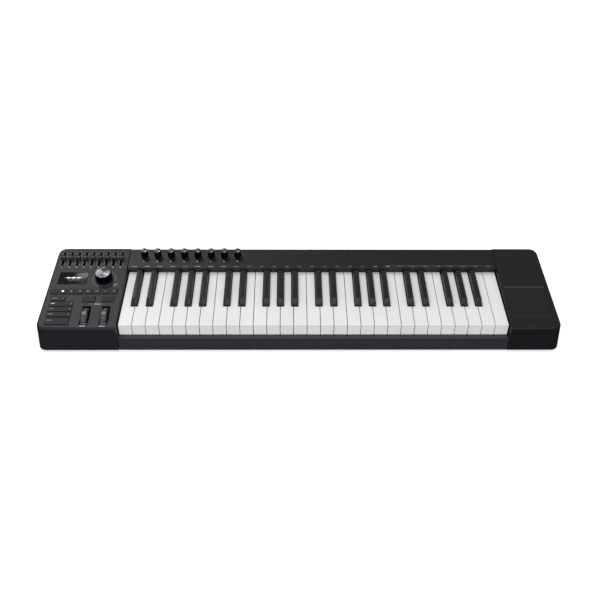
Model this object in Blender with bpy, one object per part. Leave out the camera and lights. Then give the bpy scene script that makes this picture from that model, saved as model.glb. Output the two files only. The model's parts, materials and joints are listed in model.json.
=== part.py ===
"""Forty-nine key controller keyboard as an assembly of separate pieces.

Metres, +Z up. X runs from the low keys to the high keys, Y from the player to the back.
The origin is under the middle of the case, on the surface that the feet stand on.
"""
import math

import bmesh
import bpy
from mathutils import Matrix, Vector

# ---- case ----
HALF_WIDTH = 0.4549          # at the top front edge
DEPTH = 0.2092
FRONT_TOP = 0.0576           # height of the top where it meets the front
TOP_SLOPE = math.radians(3.2)
SIDE_FLARE = 0.080           # how far the sides lean out, per metre down
SIDE_TAPER = 0.0174          # how far the sides close in, per metre back
CORNER_RADIUS = 0.0145
TOP_FILLET = 0.0032
INNER_FILLET_SHARE = 0.3     # the key side of an end housing has a tighter edge
BOTTOM_CHAMFER = 0.0014
WALL = 0.0026
PANEL = 0.0025
CASE_BOTTOM = 0.004
COVER_THICKNESS = 0.0025
LEFT_INNER = 0.3168          # key side of the left housing, from the middle
RIGHT_INNER = 0.3666         # key side of the right housing, from the middle
GAP = 0.0003                 # between pieces that touch
CLEARANCE = 0.0004           # round pieces that slide or turn

# ---- strip behind the keys, and rail in front of them ----
STRIP_DROP = 0.0014          # below the tops of the end housings
STRIP_FRONT = 0.0506
STRIP_LIP_BOTTOM = 0.0552
SHEET = 0.0022
RAIL_RECESS = 0.0015
RAIL_TOP = 0.033
RAIL_LEDGE_BACK = -0.096
EDGE_BEVEL = 0.0008

# ---- keys ----
WHITE_COUNT = 29
WHITE_PITCH = 0.02345
KEY_GAP = 0.001
WHITE_TOP = 0.054
WHITE_FRONT = -0.09265
WHITE_FRONT_HEIGHT = 0.0245
WHITE_BODY_HEIGHT = 0.012
WHITE_SKIRT = 0.018          # length of the deep front of a white key
KEY_BODY_BACK = 0.056
KEY_WALL = 0.002
BLACK_FRONT = -0.0428
BLACK_BACK = 0.047
BLACK_RISE = 0.010           # above the white keys
BLACK_NOSE_RISE = 0.0046
BLACK_SLOPE_LENGTH = 0.0098
BLACK_WIDTH = 0.011
BLACK_TOP_INSET = 0.0008
BLACK_SLOT = 0.0131          # width cut from the white keys for a black key
BLACK_STEP = 0.0006          # small offsets at the back of a black key
ARM_INSET = 0.0015           # an arm is this much narrower than its key, each side
PIVOT_Y = 0.088
ARM_THICKNESS = 0.0035
PIVOT_DEPTH = 0.008
SINGLE_ARM_Z = 0.0445
COMB_ARM_Z = {"outer": 0.044, "inner": 0.0487, "black": 0.0393}
SINGLE_OCTAVE = 2            # the octave whose keys are separate pieces
OCTAVES = 4
WHITE_NAMES = ("c", "d", "e", "f", "g", "a", "b")
BLACK_AFTER = {"c": "c_sharp", "d": "d_sharp", "f": "f_sharp", "g": "g_sharp", "a": "a_sharp"}
OUTER_WHITES = ("c", "e", "g", "b")
INNER_WHITES = ("d", "f", "a")
BLACK_SHIFT = {"c_sharp": -0.0016, "d_sharp": 0.0016, "f_sharp": -0.0022, "g_sharp": 0.0, "a_sharp": 0.0022}

# ---- controls, placed by X and Y on the sloping top ----
FADER_COUNT = 9
FADER_FIRST_X = -0.4377
FADER_PITCH = 0.01344
FADER_Y = 0.073
FADER_SLOT = (0.0026, 0.037)
FADER_CAP_WIDTH = 0.009
# front half of a cap's outline, (y, z)
FADER_GRIP = ((-0.0042, 0.0006), (-0.003, 0.006), (-0.0022, 0.0074), (0.0, 0.0065))
FADER_STEM = (0.0018, 0.005)
FADER_STEM_TOP = 0.002
DISPLAY_CENTRE = (-0.4114, 0.0213)
DISPLAY_SIZE = (0.0514, 0.0317)
ENCODER_CENTRE = (-0.355, 0.0207)
ENCODER_RADIUS = 0.0155
ENCODER_HEIGHT = 0.016
KNOB_COUNT = 8
KNOB_FIRST_X = -0.2887
KNOB_PITCH = 0.02487
KNOB_Y = 0.0841
KNOB_RADIUS = 0.0068
KNOB_HEIGHT = 0.0126
KNOB_TAPER = 0.93            # top radius over bottom radius
KNOB_RIM = 0.0007
KNOB_BORE_SHARE = 0.7        # of the height
KNOB_FLOAT = 0.0007          # a knob hangs this far above the surface
SQUARE_COUNT = 8
SQUARE_FIRST_X = -0.4385
SQUARE_PITCH = 0.01524
SQUARE_Y = -0.0142
SQUARE_SIZE = (0.0126, 0.012)
LONG_LEFT = -0.441
LONG_RIGHT = -0.3997
LONG_SHORT_RIGHT = -0.4153
LONG_FIRST_Y = -0.0326
LONG_PITCH = 0.0131
LONG_DEPTH = 0.011
LONG_LAST_Y = -0.0882
LONG_LAST_DEPTH = 0.0155
OCTAVE_BUTTON_X = (-0.3735, -0.3398)
OCTAVE_BUTTON_Y = -0.0337
OCTAVE_BUTTON_SIZE = (0.022, 0.0128)
BUTTON_RISE = 0.0016
MAT_TOP = -0.0045            # top of a button mat, from the top of the case
MAT_THICKNESS = 0.002
MAT_MARGIN = 0.0012          # round the outermost buttons
WHEEL_X = (-0.3738, -0.34)
WHEEL_Y = -0.0733
WHEEL_RADIUS = 0.026
WHEEL_WIDTH = 0.0125
WHEEL_AXIS_DEPTH = 0.017     # below the top of the case
WHEEL_STUB_RADIUS = 0.0025
WHEEL_STUB_REACH = 0.0095
WHEEL_NOTCH_RADIUS = 0.012
WHEEL_NOTCH_LIFT = 0.0096     # of the notch's own middle above the rim
WHEEL_NOTCH_ANGLE = math.radians(20)
WHEEL_SLOT = (0.015, 0.0455)
WHEEL_RIM = 0.0012            # chamfer round the drum
WHEEL_POST = (0.0022, 0.010)
PAD_CENTRE = (0.4077, -0.039)
PAD_SIZE = (0.0727, 0.0732)

# ---- inside ----
BOARD_TOP = -0.012           # control board, from the top of the case
BOARD_THICKNESS = 0.0016
BOARD_FRONT = -0.044
BOARD_KNOBS_FRONT = 0.068    # front of the arm that runs behind the keys
ENCODER_BODY_RADIUS = 0.007
POT_BODY_RADIUS = 0.005
FADER_BODY = (0.0115, 0.046, 0.0065)
SHAFT_RADIUS = 0.003
KNOB_SHAFT_RADIUS = 0.002
CHASSIS_SHEET = 0.002
CHASSIS_FRONT = -0.088
CHASSIS_WALL_TOP = 0.053
TABLE_HALF = 0.03             # half the depth of the raised table
POST_SIZE = (0.005, 0.008)
POST_TOP = 0.040
POST_Y = -0.074
CONTACT_BOARD_Z = 0.0265
CONTACT_BOARD_HALF = 0.024
CONTACT_STRIPS = ((-0.018, -0.010), (0.006, 0.014))   # front and back of each rubber strip
CONTACT_SLOPE = 0.001
CONTACT_TOP = 0.0333
PORT_BOARD_Z = 0.012
PORT_Z = 0.026
JACK_X = (-0.428, -0.403)
MIDI_X = -0.375
USB_X = -0.343
JACK_NOSE_RADIUS = 0.0055
JACK_BORE_RADIUS = 0.0034
JACK_BORE_DEPTH = 0.029
JACK_BLOCK = (0.016, 0.0297)   # width, and length from the back wall
MIDI_NOSE_RADIUS = 0.0095
MIDI_BORE_RADIUS = 0.0075
MIDI_BORE_DEPTH = 0.010
MIDI_BLOCK = (0.021, 0.0177)
USB_SHELL = (0.0089, 0.0032)
USB_WALL = 0.0004
USB_BORE_DEPTH = 0.006
USB_BLOCK = (0.011, 0.0097)
USB_BLOCK_RISE = 0.0025      # above the middle of its opening
PORT_BOARD_X = (-0.4365, -0.328)
PORT_BOARD_FRONT = 0.062
FOOT_RADIUS = 0.009
FOOT_RIM = 0.001
FOOT_X = 0.4
FOOT_Y = 0.08

FRONT = -DEPTH / 2
REAR = DEPTH / 2
COVER_TOP = CASE_BOTTOM + COVER_THICKNESS
KEYS_WIDTH = WHITE_COUNT * WHITE_PITCH
KEYS_LEFT = (RIGHT_INNER - LEFT_INNER - KEYS_WIDTH) / 2
ROUND_STEPS = 32
ARC_STEPS = 6
FILLET_STEPS = 3
HALF_TURN = math.pi
QUARTER_TURN = math.pi / 2


def clear_scene():
    for thing in list(bpy.data.objects):
        bpy.data.objects.remove(thing, do_unlink=True)


def make_material(name, colour, roughness, metallic=0.0):
    finish = bpy.data.materials.new(name)
    finish.use_nodes = True
    shader = finish.node_tree.nodes["Principled BSDF"]
    shader.inputs["Base Color"].default_value = (*colour, 1.0)
    shader.inputs["Roughness"].default_value = roughness
    shader.inputs["Metallic"].default_value = metallic
    return finish


# ---- places ----
def top_z(y):
    """Height of the end housings' top above a point at depth y."""
    return FRONT_TOP + (y - FRONT) * math.tan(TOP_SLOPE)


def panel_frame(x, y, lift=0.0):
    """Frame lying on the sloping top: its Z is square to the top."""
    place = Matrix.Translation((x, y, top_z(y)))
    return place @ Matrix.Rotation(TOP_SLOPE, 4, "X") @ Matrix.Translation((0, 0, lift))


def fader_x(index):
    return FADER_FIRST_X + index * FADER_PITCH


def knob_x(index):
    return KNOB_FIRST_X + index * KNOB_PITCH


def white_left(index):
    """Left boundary of a white key, counted from the lowest."""
    return KEYS_LEFT + index * WHITE_PITCH


def wheel_axis_z():
    return top_z(WHEEL_Y) - WHEEL_AXIS_DEPTH


# ---- shapes ----
def loft(shape, rings):
    """Skin over rings of points, closed with a flat face at each end."""
    rows = [[shape.verts.new(point) for point in ring] for ring in rings]
    count = len(rows[0])
    for low, high in zip(rows, rows[1:]):
        for i in range(count):
            j = (i + 1) % count
            shape.faces.new((low[i], low[j], high[j], high[i]))
    shape.faces.new(rows[0][::-1])
    shape.faces.new(rows[-1])


def box(shape, low, high, frame=None):
    """Block between two opposite corners, in its own frame."""
    frame = frame or Matrix()
    rings = []
    for z in (low[2], high[2]):
        corners = ((low[0], low[1]), (high[0], low[1]), (high[0], high[1]), (low[0], high[1]))
        rings.append([frame @ Vector((x, y, z)) for x, y in corners])
    loft(shape, rings)


def centred_box(shape, size, low_z, high_z, frame):
    """Block centred on its frame in X and Y."""
    half_x = size[0] / 2
    half_y = size[1] / 2
    box(shape, (-half_x, -half_y, low_z), (half_x, half_y, high_z), frame)


def profile_along_x(shape, profile, x_start, x_end):
    """Closed (y, z) outline carried straight along X."""
    loft(shape, [[Vector((x, y, z)) for y, z in profile] for x in (x_start, x_end)])


def outline_up(shape, outline, z_start, z_end, frame=None):
    """Closed (x, y) outline carried straight up."""
    frame = frame or Matrix()
    loft(shape, [[frame @ Vector((x, y, z)) for x, y in outline] for z in (z_start, z_end)])


def turned(shape, profile, frame, steps=ROUND_STEPS):
    """Closed (radius, z) outline turned about its frame's Z; radius 0 makes a pole."""
    columns = []
    for radius, z in profile:
        if radius == 0:
            columns.append([shape.verts.new(frame @ Vector((0, 0, z)))] * steps)
            continue
        ring = []
        for k in range(steps):
            turn = 2 * HALF_TURN * k / steps
            point = Vector((radius * math.cos(turn), radius * math.sin(turn), z))
            ring.append(shape.verts.new(frame @ point))
        columns.append(ring)
    for near, far in zip(columns, columns[1:]):
        for k in range(steps):
            m = (k + 1) % steps
            corners = []
            for vertex in (near[k], near[m], far[m], far[k]):
                if vertex not in corners:
                    corners.append(vertex)
            shape.faces.new(corners)


def rod(shape, radius, z_start, z_end, frame, steps=ROUND_STEPS):
    turned(shape, [(0, z_start), (radius, z_start), (radius, z_end), (0, z_end)], frame, steps)


def arc(centre, radius, start, end, steps=ARC_STEPS):
    """Points on an arc, both ends included."""
    points = []
    for k in range(steps + 1):
        turn = start + (end - start) * k / steps
        points.append((centre[0] + radius * math.cos(turn), centre[1] + radius * math.sin(turn)))
    return points


def sheet_profile(path, thickness):
    """Outline of a bent sheet whose middle follows a path of square corners."""
    left = []
    right = []
    for i, point in enumerate(path):
        before = Vector(path[max(i - 1, 0)])
        after = Vector(path[min(i + 1, len(path) - 1)])
        here = Vector(point)
        into = (here - before).normalized() if i else (after - here).normalized()
        out = (after - here).normalized() if i < len(path) - 1 else into
        side = Vector((-into.y, into.x))
        if into.dot(out) < 0.5:
            side += Vector((-out.y, out.x))
        left.append(tuple(here + side * thickness / 2))
        right.append(tuple(here - side * thickness / 2))
    return left + right[::-1]


# ---- objects ----
def add_object(name, shape, finish, frame=None):
    """Closed mesh in its own frame, with every face pointing out."""
    bmesh.ops.recalc_face_normals(shape, faces=shape.faces)
    mesh = bpy.data.meshes.new(name)
    shape.to_mesh(mesh)
    shape.free()
    thing = bpy.data.objects.new(name, mesh)
    bpy.context.collection.objects.link(thing)
    if finish:
        mesh.materials.append(finish)
    if frame:
        thing.matrix_world = frame
    return thing


def shade_round(thing):
    thing.data.shade_smooth()
    thing.data.set_sharp_from_angle(angle=math.radians(35))


def add_guide(name, shape, frame=None):
    """Shape that only cuts or adds to another one."""
    guide = add_object(name, shape, None, frame)
    guide.hide_render = True
    guide.display_type = "WIRE"
    return guide


def combine(thing, guide, operation):
    step = thing.modifiers.new(guide.name, "BOOLEAN")
    step.operation = operation
    step.solver = "EXACT"
    step.object = guide


def settle(thing):
    """Replace a mesh by what its modifiers make of it, so that copies can share it."""
    bpy.context.view_layer.update()
    guides = [step.object for step in thing.modifiers]
    evaluated = thing.evaluated_get(bpy.context.evaluated_depsgraph_get())
    mesh = bpy.data.meshes.new_from_object(evaluated)
    thing.modifiers.clear()
    thing.data = mesh
    for guide in guides:
        bpy.data.objects.remove(guide, do_unlink=True)


def copy_to(thing, name, frame):
    twin = bpy.data.objects.new(name, thing.data)
    bpy.context.collection.objects.link(twin)
    twin.matrix_world = frame
    return twin


# ---- end housings ----
def housing_ring(side, inner, inset, inner_inset, height):
    """One level of an end housing, from the key side round the outer corners."""
    outer_front = HALF_WIDTH - SIDE_TAPER * CORNER_RADIUS - CORNER_RADIUS
    outer_rear = HALF_WIDTH - SIDE_TAPER * (DEPTH - CORNER_RADIUS) - CORNER_RADIUS
    radius = CORNER_RADIUS - inset
    points = [(inner + inner_inset, FRONT + inset)]
    points += arc((outer_front, FRONT + CORNER_RADIUS), radius, -QUARTER_TURN, 0)
    points += arc((outer_rear, REAR - CORNER_RADIUS), radius, 0, QUARTER_TURN)
    points.append((inner + inner_inset, REAR - inset))
    ring = []
    for reach, y in points:
        z = height(y)
        lean = SIDE_FLARE * (FRONT_TOP - z) if reach > inner + inner_inset else 0.0
        ring.append(Vector((side * (reach + lean), y, z)))
    return ring


def housing_solid(side, inner):
    """Outside of an end housing: chamfered foot, leaning sides, rounded top edge."""
    rings = []
    for rise, inset in ((0.0, BOTTOM_CHAMFER), (BOTTOM_CHAMFER, 0.0)):
        rings.append(housing_ring(side, inner, inset, 0.0, lambda y, rise=rise: CASE_BOTTOM + rise))
    for k in range(FILLET_STEPS + 1):
        turn = QUARTER_TURN * k / FILLET_STEPS
        inset = TOP_FILLET * (1 - math.cos(turn))
        drop = TOP_FILLET * (1 - math.sin(turn))
        inner_inset = inset * INNER_FILLET_SHARE
        rings.append(housing_ring(side, inner, inset, inner_inset, lambda y, drop=drop: top_z(y) - drop))
    shape = bmesh.new()
    loft(shape, rings)
    return shape


def housing_cavity(shape, side, inner):
    """Room inside an end housing, open underneath."""
    floor = housing_ring(side, inner, WALL, WALL, lambda y: 0.0)
    ceiling = housing_ring(side, inner, WALL, WALL, lambda y: top_z(y) - PANEL)
    loft(shape, [floor, ceiling])


def inner_wall_relief(shape, side, inner):
    """Clears the foot of the key-side wall for the bottom cover."""
    reach = (side * (inner - WALL), side * (inner + WALL))
    low = (min(reach), FRONT + WALL, 0.0)
    high = (max(reach), REAR - WALL, COVER_TOP + GAP)
    box(shape, low, high)


def grown(size, margin):
    return (size[0] + 2 * margin, size[1] + 2 * margin)


def square_buttons():
    return [(SQUARE_FIRST_X + i * SQUARE_PITCH, SQUARE_Y, SQUARE_SIZE) for i in range(SQUARE_COUNT)]


def long_buttons():
    """Five bars down the left: the first is short, the last is deep."""
    rows = [(LONG_SHORT_RIGHT, LONG_FIRST_Y, LONG_DEPTH)]
    rows += [(LONG_RIGHT, LONG_FIRST_Y - i * LONG_PITCH, LONG_DEPTH) for i in (1, 2, 3)]
    rows.append((LONG_RIGHT, LONG_LAST_Y, LONG_LAST_DEPTH))
    return [((LONG_LEFT + right) / 2, y, (right - LONG_LEFT, depth)) for right, y, depth in rows]


def octave_buttons():
    return [(x, OCTAVE_BUTTON_Y, OCTAVE_BUTTON_SIZE) for x in OCTAVE_BUTTON_X]


def control_openings(shape):
    """Holes and pockets in the left housing's top."""
    through = (-2 * PANEL, PANEL)
    for i in range(FADER_COUNT):
        centred_box(shape, FADER_SLOT, *through, panel_frame(fader_x(i), FADER_Y))
    for x, y, size in square_buttons() + long_buttons() + octave_buttons():
        centred_box(shape, grown(size, CLEARANCE), *through, panel_frame(x, y))
    for x in WHEEL_X:
        centred_box(shape, WHEEL_SLOT, *through, panel_frame(x, WHEEL_Y))
    centred_box(shape, grown(DISPLAY_SIZE, GAP), -PANEL / 2, PANEL, panel_frame(*DISPLAY_CENTRE))
    rod(shape, SHAFT_RADIUS + 2 * CLEARANCE, *through, panel_frame(*ENCODER_CENTRE), 16)


def rear_frame(x, z):
    """Frame on the back of the case, its Z pointing away from the player."""
    return Matrix.Translation((x, REAR, z)) @ Matrix.Rotation(-QUARTER_TURN, 4, "X")


def port_openings(shape):
    """Holes for the sockets in the left housing's back."""
    for x in JACK_X:
        rod(shape, JACK_NOSE_RADIUS + CLEARANCE, -2 * WALL, WALL, rear_frame(x, PORT_Z), 16)
    rod(shape, MIDI_NOSE_RADIUS + CLEARANCE, -2 * WALL, WALL, rear_frame(MIDI_X, PORT_Z), 24)
    centred_box(shape, grown(USB_SHELL, CLEARANCE), -2 * WALL, WALL, rear_frame(USB_X, PORT_Z))


def board_passage(shape):
    """Opening in the left housing's key-side wall that the control board runs through."""
    low = (-LEFT_INNER - 2 * WALL, STRIP_FRONT + 2 * SHEET, PORT_Z)
    high = (-LEFT_INNER + WALL, REAR - 2 * WALL, top_z(STRIP_FRONT) - 2 * PANEL)
    box(shape, low, high)


def left_end_housing(finish):
    housing = add_object("left_end_housing", housing_solid(-1, LEFT_INNER), finish)
    room = bmesh.new()
    housing_cavity(room, -1, LEFT_INNER)
    combine(housing, add_guide("left_room", room), "DIFFERENCE")
    holes = bmesh.new()
    control_openings(holes)
    port_openings(holes)
    inner_wall_relief(holes, -1, LEFT_INNER)
    board_passage(holes)
    combine(housing, add_guide("left_holes", holes), "DIFFERENCE")


def right_end_housing(finish):
    housing = add_object("right_end_housing", housing_solid(1, RIGHT_INNER), finish)
    room = bmesh.new()
    housing_cavity(room, 1, RIGHT_INNER)
    combine(housing, add_guide("right_room", room), "DIFFERENCE")
    holes = bmesh.new()
    inner_wall_relief(holes, 1, RIGHT_INNER)
    centred_box(holes, grown(PAD_SIZE, GAP), -PANEL / 2, PANEL, panel_frame(*PAD_CENTRE))
    combine(housing, add_guide("right_holes", holes), "DIFFERENCE")


# ---- strip, rail and bottom ----
def rear_panel(finish):
    """Strip behind the keys, folded down into the back of the case."""
    lip = STRIP_FRONT
    back = REAR
    front_top = top_z(lip) - STRIP_DROP
    back_top = top_z(back) - STRIP_DROP
    bend = TOP_FILLET
    outside = [(lip, STRIP_LIP_BOTTOM), (lip, front_top - EDGE_BEVEL)]
    outside.append((lip + EDGE_BEVEL, top_z(lip + EDGE_BEVEL) - STRIP_DROP))
    outside += arc((back - bend, back_top - bend), bend, QUARTER_TURN, 0, 4)
    outside.append((back, CASE_BOTTOM + GAP))
    inside = [(back - SHEET, CASE_BOTTOM + GAP), (back - SHEET, back_top - SHEET - bend)]
    inside.append((back - SHEET - bend, top_z(back - SHEET - bend) - STRIP_DROP - SHEET))
    inside += [(lip + SHEET, top_z(lip + SHEET) - STRIP_DROP - SHEET), (lip + SHEET, STRIP_LIP_BOTTOM)]
    shape = bmesh.new()
    profile_along_x(shape, outside + inside, -LEFT_INNER + GAP, RIGHT_INNER - GAP)
    panel = add_object("rear_panel", shape, finish)
    holes = bmesh.new()
    for i in range(KNOB_COUNT):
        radius = KNOB_SHAFT_RADIUS + 2 * CLEARANCE
        rod(holes, radius, -2 * PANEL, PANEL, panel_frame(knob_x(i), KNOB_Y), 12)
    combine(panel, add_guide("knob_holes", holes), "DIFFERENCE")


def front_rail(finish):
    """Rail in front of the keys: a tall face and a narrow ledge."""
    face = FRONT + RAIL_RECESS
    outline = [(face, CASE_BOTTOM + GAP), (face, RAIL_TOP - EDGE_BEVEL), (face + EDGE_BEVEL, RAIL_TOP)]
    outline += [(RAIL_LEDGE_BACK, RAIL_TOP), (RAIL_LEDGE_BACK, RAIL_TOP - SHEET)]
    outline += [(face + SHEET, RAIL_TOP - SHEET), (face + SHEET, CASE_BOTTOM + GAP)]
    shape = bmesh.new()
    profile_along_x(shape, outline, -LEFT_INNER + GAP, RIGHT_INNER - GAP)
    add_object("front_rail", shape, finish)


def bottom_cover(finish):
    """Flat cover inside the walls, with posts that carry the wheels' stubs."""
    inset = RAIL_RECESS + SHEET + GAP
    right = [(p.x, p.y) for p in housing_ring(1, 0.0, inset, 0.0, lambda y: CASE_BOTTOM)]
    left = [(p.x, p.y) for p in housing_ring(-1, 0.0, inset, 0.0, lambda y: CASE_BOTTOM)]
    outline = right[1:-1] + left[1:-1][::-1]
    shape = bmesh.new()
    outline_up(shape, outline, CASE_BOTTOM + GAP, COVER_TOP)
    cover = add_object("bottom_cover", shape, finish)
    posts = bmesh.new()
    post_top = wheel_axis_z() - WHEEL_STUB_RADIUS - GAP
    for x in WHEEL_X:
        for side in (-1, 1):
            outer = x + side * WHEEL_STUB_REACH
            inner = outer - side * WHEEL_POST[0]
            low = (min(inner, outer), WHEEL_Y - WHEEL_POST[1] / 2, COVER_TOP - COVER_THICKNESS / 2)
            high = (max(inner, outer), WHEEL_Y + WHEEL_POST[1] / 2, post_top)
            box(posts, low, high)
    combine(cover, add_guide("wheel_posts", posts), "UNION")


def foot(name, x, y, finish):
    shape = bmesh.new()
    profile = [(0, 0), (FOOT_RADIUS - FOOT_RIM, 0), (FOOT_RADIUS, FOOT_RIM)]
    profile += [(FOOT_RADIUS, CASE_BOTTOM), (0, CASE_BOTTOM)]
    turned(shape, profile, Matrix(), 20)
    shade_round(add_object(name, shape, finish, Matrix.Translation((x, y, 0))))


# ---- keys ----
def black_x(octave, name):
    """Middle of a black key, a little off the line between its white neighbours."""
    white = [w for w in WHITE_NAMES if BLACK_AFTER.get(w) == name][0]
    index = octave * len(WHITE_NAMES) + WHITE_NAMES.index(white)
    return white_left(index + 1) + BLACK_SHIFT[name]


def white_span(octave, name, is_last=False):
    """Left and right of a white key's narrow back part."""
    place = WHITE_NAMES.index(name)
    index = octave * len(WHITE_NAMES) + place
    left = white_left(index) + KEY_GAP / 2
    right = white_left(index + 1) - KEY_GAP / 2
    before = BLACK_AFTER.get(WHITE_NAMES[place - 1]) if place else None
    after = None if is_last else BLACK_AFTER.get(name)
    back_left = black_x(octave, before) + BLACK_SLOT / 2 if before else left
    back_right = black_x(octave, after) - BLACK_SLOT / 2 if after else right
    return left, right, back_left, back_right


def all_white_spans():
    spans = [white_span(octave, name) for octave in range(OCTAVES) for name in WHITE_NAMES]
    return spans + [white_span(OCTAVES, "c", True)]


def white_body(shape, left, right):
    """Deep front and shallow body of a white key, over its full width."""
    front_bottom = WHITE_TOP - WHITE_FRONT_HEIGHT
    body_bottom = WHITE_TOP - WHITE_BODY_HEIGHT
    skirt = WHITE_FRONT + WHITE_SKIRT
    outline = [(WHITE_FRONT, front_bottom), (WHITE_FRONT, WHITE_TOP), (KEY_BODY_BACK, WHITE_TOP)]
    outline += [(KEY_BODY_BACK, body_bottom), (skirt + KEY_WALL, body_bottom), (skirt, front_bottom)]
    profile_along_x(shape, outline, left, right)


def white_cuts(shape, span):
    """Room for the black neighbours, and the hollow underneath."""
    left, right, back_left, back_right = span
    slot_front = BLACK_FRONT - KEY_GAP
    for start, end, inside in ((left - KEY_GAP, back_left, back_left > left),
                               (back_right, right + KEY_GAP, back_right < right)):
        if inside:
            box(shape, (start, slot_front, 0.0), (end, KEY_BODY_BACK + KEY_GAP, WHITE_TOP + KEY_GAP))
    hollow_low = (back_left + KEY_WALL, WHITE_FRONT + KEY_WALL, 0.0)
    hollow_high = (back_right - KEY_WALL, KEY_BODY_BACK - 2 * KEY_WALL, WHITE_TOP - KEY_WALL)
    box(shape, hollow_low, hollow_high)


def black_body(shape, x):
    """Black key: upright nose, long sloped front, sides that close in upwards."""
    top = WHITE_TOP + BLACK_RISE
    bottom = COMB_ARM_Z["black"]
    outline = [(BLACK_FRONT, bottom + KEY_WALL), (BLACK_FRONT, WHITE_TOP)]
    outline += [(BLACK_FRONT, WHITE_TOP + BLACK_NOSE_RISE), (BLACK_FRONT + BLACK_SLOPE_LENGTH, top)]
    outline += [(BLACK_BACK - BLACK_STEP, top), (BLACK_BACK, WHITE_TOP)]
    outline.append((BLACK_BACK + BLACK_STEP, WHITE_TOP - BLACK_STEP))
    outline += [(KEY_BODY_BACK, WHITE_TOP - BLACK_STEP), (KEY_BODY_BACK, bottom)]
    outline.append((BLACK_FRONT + BLACK_SLOPE_LENGTH, bottom))
    ends = []
    for side in (-1, 1):
        ring = []
        for y, z in outline:
            inset = BLACK_TOP_INSET * max(z - WHITE_TOP, 0.0) / BLACK_RISE
            ring.append(Vector((x + side * (BLACK_WIDTH / 2 - inset), y, z)))
        ends.append(ring)
    loft(shape, ends)


def comb_arms(shape, spans, low_z):
    """Pivot bar with one arm reaching forward into each key."""
    arm_front = KEY_BODY_BACK - KEY_WALL
    bar_front = PIVOT_Y - PIVOT_DEPTH / 2
    bar_back = PIVOT_Y + PIVOT_DEPTH / 2
    bar_left = spans[0][0] + ARM_INSET
    bar_right = spans[-1][1] - ARM_INSET
    outline = [(bar_left, bar_back)]
    for left, right in spans:
        if left > spans[0][0]:
            outline.append((left + ARM_INSET, bar_front))
        outline += [(left + ARM_INSET, arm_front), (right - ARM_INSET, arm_front)]
        if right < spans[-1][1]:
            outline.append((right - ARM_INSET, bar_front))
    outline.append((bar_right, bar_back))
    outline_up(shape, outline, low_z, low_z + ARM_THICKNESS)


def pivot_frame(x, low_z):
    return Matrix.Translation((x, PIVOT_Y, low_z + ARM_THICKNESS / 2))


def set_origin(thing, frame):
    """Move an object's origin without moving its shape."""
    thing.data.transform(frame.inverted())
    thing.matrix_world = frame


def finish_key(name, shape, arms, cuts, finish, frame):
    key = add_object(name, shape, finish)
    if cuts:
        combine(key, add_guide(name + "_cuts", cuts), "DIFFERENCE")
    combine(key, add_guide(name + "_arms", arms), "UNION")
    settle(key)
    set_origin(key, frame)


def white_keys(name, spans, low_z, finish):
    """One white key, or several on one bar."""
    shape = bmesh.new()
    cuts = bmesh.new()
    arms = bmesh.new()
    for span in spans:
        white_body(shape, span[0], span[1])
        white_cuts(cuts, span)
    comb_arms(arms, [(span[2], span[3]) for span in spans], low_z)
    middle = (spans[0][2] + spans[-1][3]) / 2
    finish_key(name, shape, arms, cuts, finish, pivot_frame(middle, low_z))


def black_keys(name, places, low_z, finish):
    """One black key, or several on one bar."""
    shape = bmesh.new()
    arms = bmesh.new()
    for x in places:
        black_body(shape, x)
    half = BLACK_WIDTH / 2
    comb_arms(arms, [(x - half, x + half) for x in places], low_z)
    middle = (places[0] + places[-1]) / 2
    finish_key(name, shape, arms, None, finish, pivot_frame(middle, low_z))


def keyboard(white_finish, black_finish):
    for octave in range(OCTAVES):
        if octave == SINGLE_OCTAVE:
            for name in WHITE_NAMES:
                white_keys("white_key_" + name, [white_span(octave, name)], SINGLE_ARM_Z, white_finish)
            for name in BLACK_SHIFT:
                black_keys("black_key_" + name, [black_x(octave, name)], SINGLE_ARM_Z, black_finish)
            continue
        tag = f"_octave_{octave + 1}"
        for group, names in (("outer", OUTER_WHITES), ("inner", INNER_WHITES)):
            spans = [white_span(octave, name) for name in names]
            white_keys(group + "_whites" + tag, spans, COMB_ARM_Z[group], white_finish)
        places = [black_x(octave, name) for name in BLACK_SHIFT]
        black_keys("black_keys" + tag, places, COMB_ARM_Z["black"], black_finish)
    white_keys("white_key_top_c", [white_span(OCTAVES, "c", True)], SINGLE_ARM_Z, white_finish)


# ---- controls ----
def fader_caps(finish):
    """Cap with a dished grip across it, on a flat stem that passes through the slot."""
    grip = list(FADER_GRIP)
    grip += [(-y, z) for y, z in FADER_GRIP[-2::-1]]
    shape = bmesh.new()
    profile_along_x(shape, grip, -FADER_CAP_WIDTH / 2, FADER_CAP_WIDTH / 2)
    first = add_object("fader_cap_1", shape, finish)
    stem = bmesh.new()
    stem_end = BOARD_TOP + FADER_BODY[2] + 2 * GAP
    centred_box(stem, FADER_STEM, stem_end, FADER_STEM_TOP, Matrix())
    combine(first, add_guide("fader_stem", stem), "UNION")
    settle(first)
    first.matrix_world = panel_frame(fader_x(0), FADER_Y)
    for i in range(1, FADER_COUNT):
        copy_to(first, f"fader_cap_{i + 1}", panel_frame(fader_x(i), FADER_Y))


def knob_profile(radius, height, bore, low):
    """Half section of a knob: bored from below, slightly tapered, dished on top."""
    top_radius = radius * KNOB_TAPER
    bore_top = height * KNOB_BORE_SHARE
    profile = [(0, bore_top), (bore, bore_top), (bore, low), (radius, low)]
    profile += [(top_radius, height - KNOB_RIM), (top_radius - KNOB_RIM, height)]
    profile.append((0, height - KNOB_RIM / 2))
    return profile


def main_encoder_knob(finish):
    shape = bmesh.new()
    bore = SHAFT_RADIUS + CLEARANCE
    turned(shape, knob_profile(ENCODER_RADIUS, ENCODER_HEIGHT, bore, KNOB_FLOAT), Matrix())
    shade_round(add_object("main_encoder_knob", shape, finish, panel_frame(*ENCODER_CENTRE)))


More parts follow.
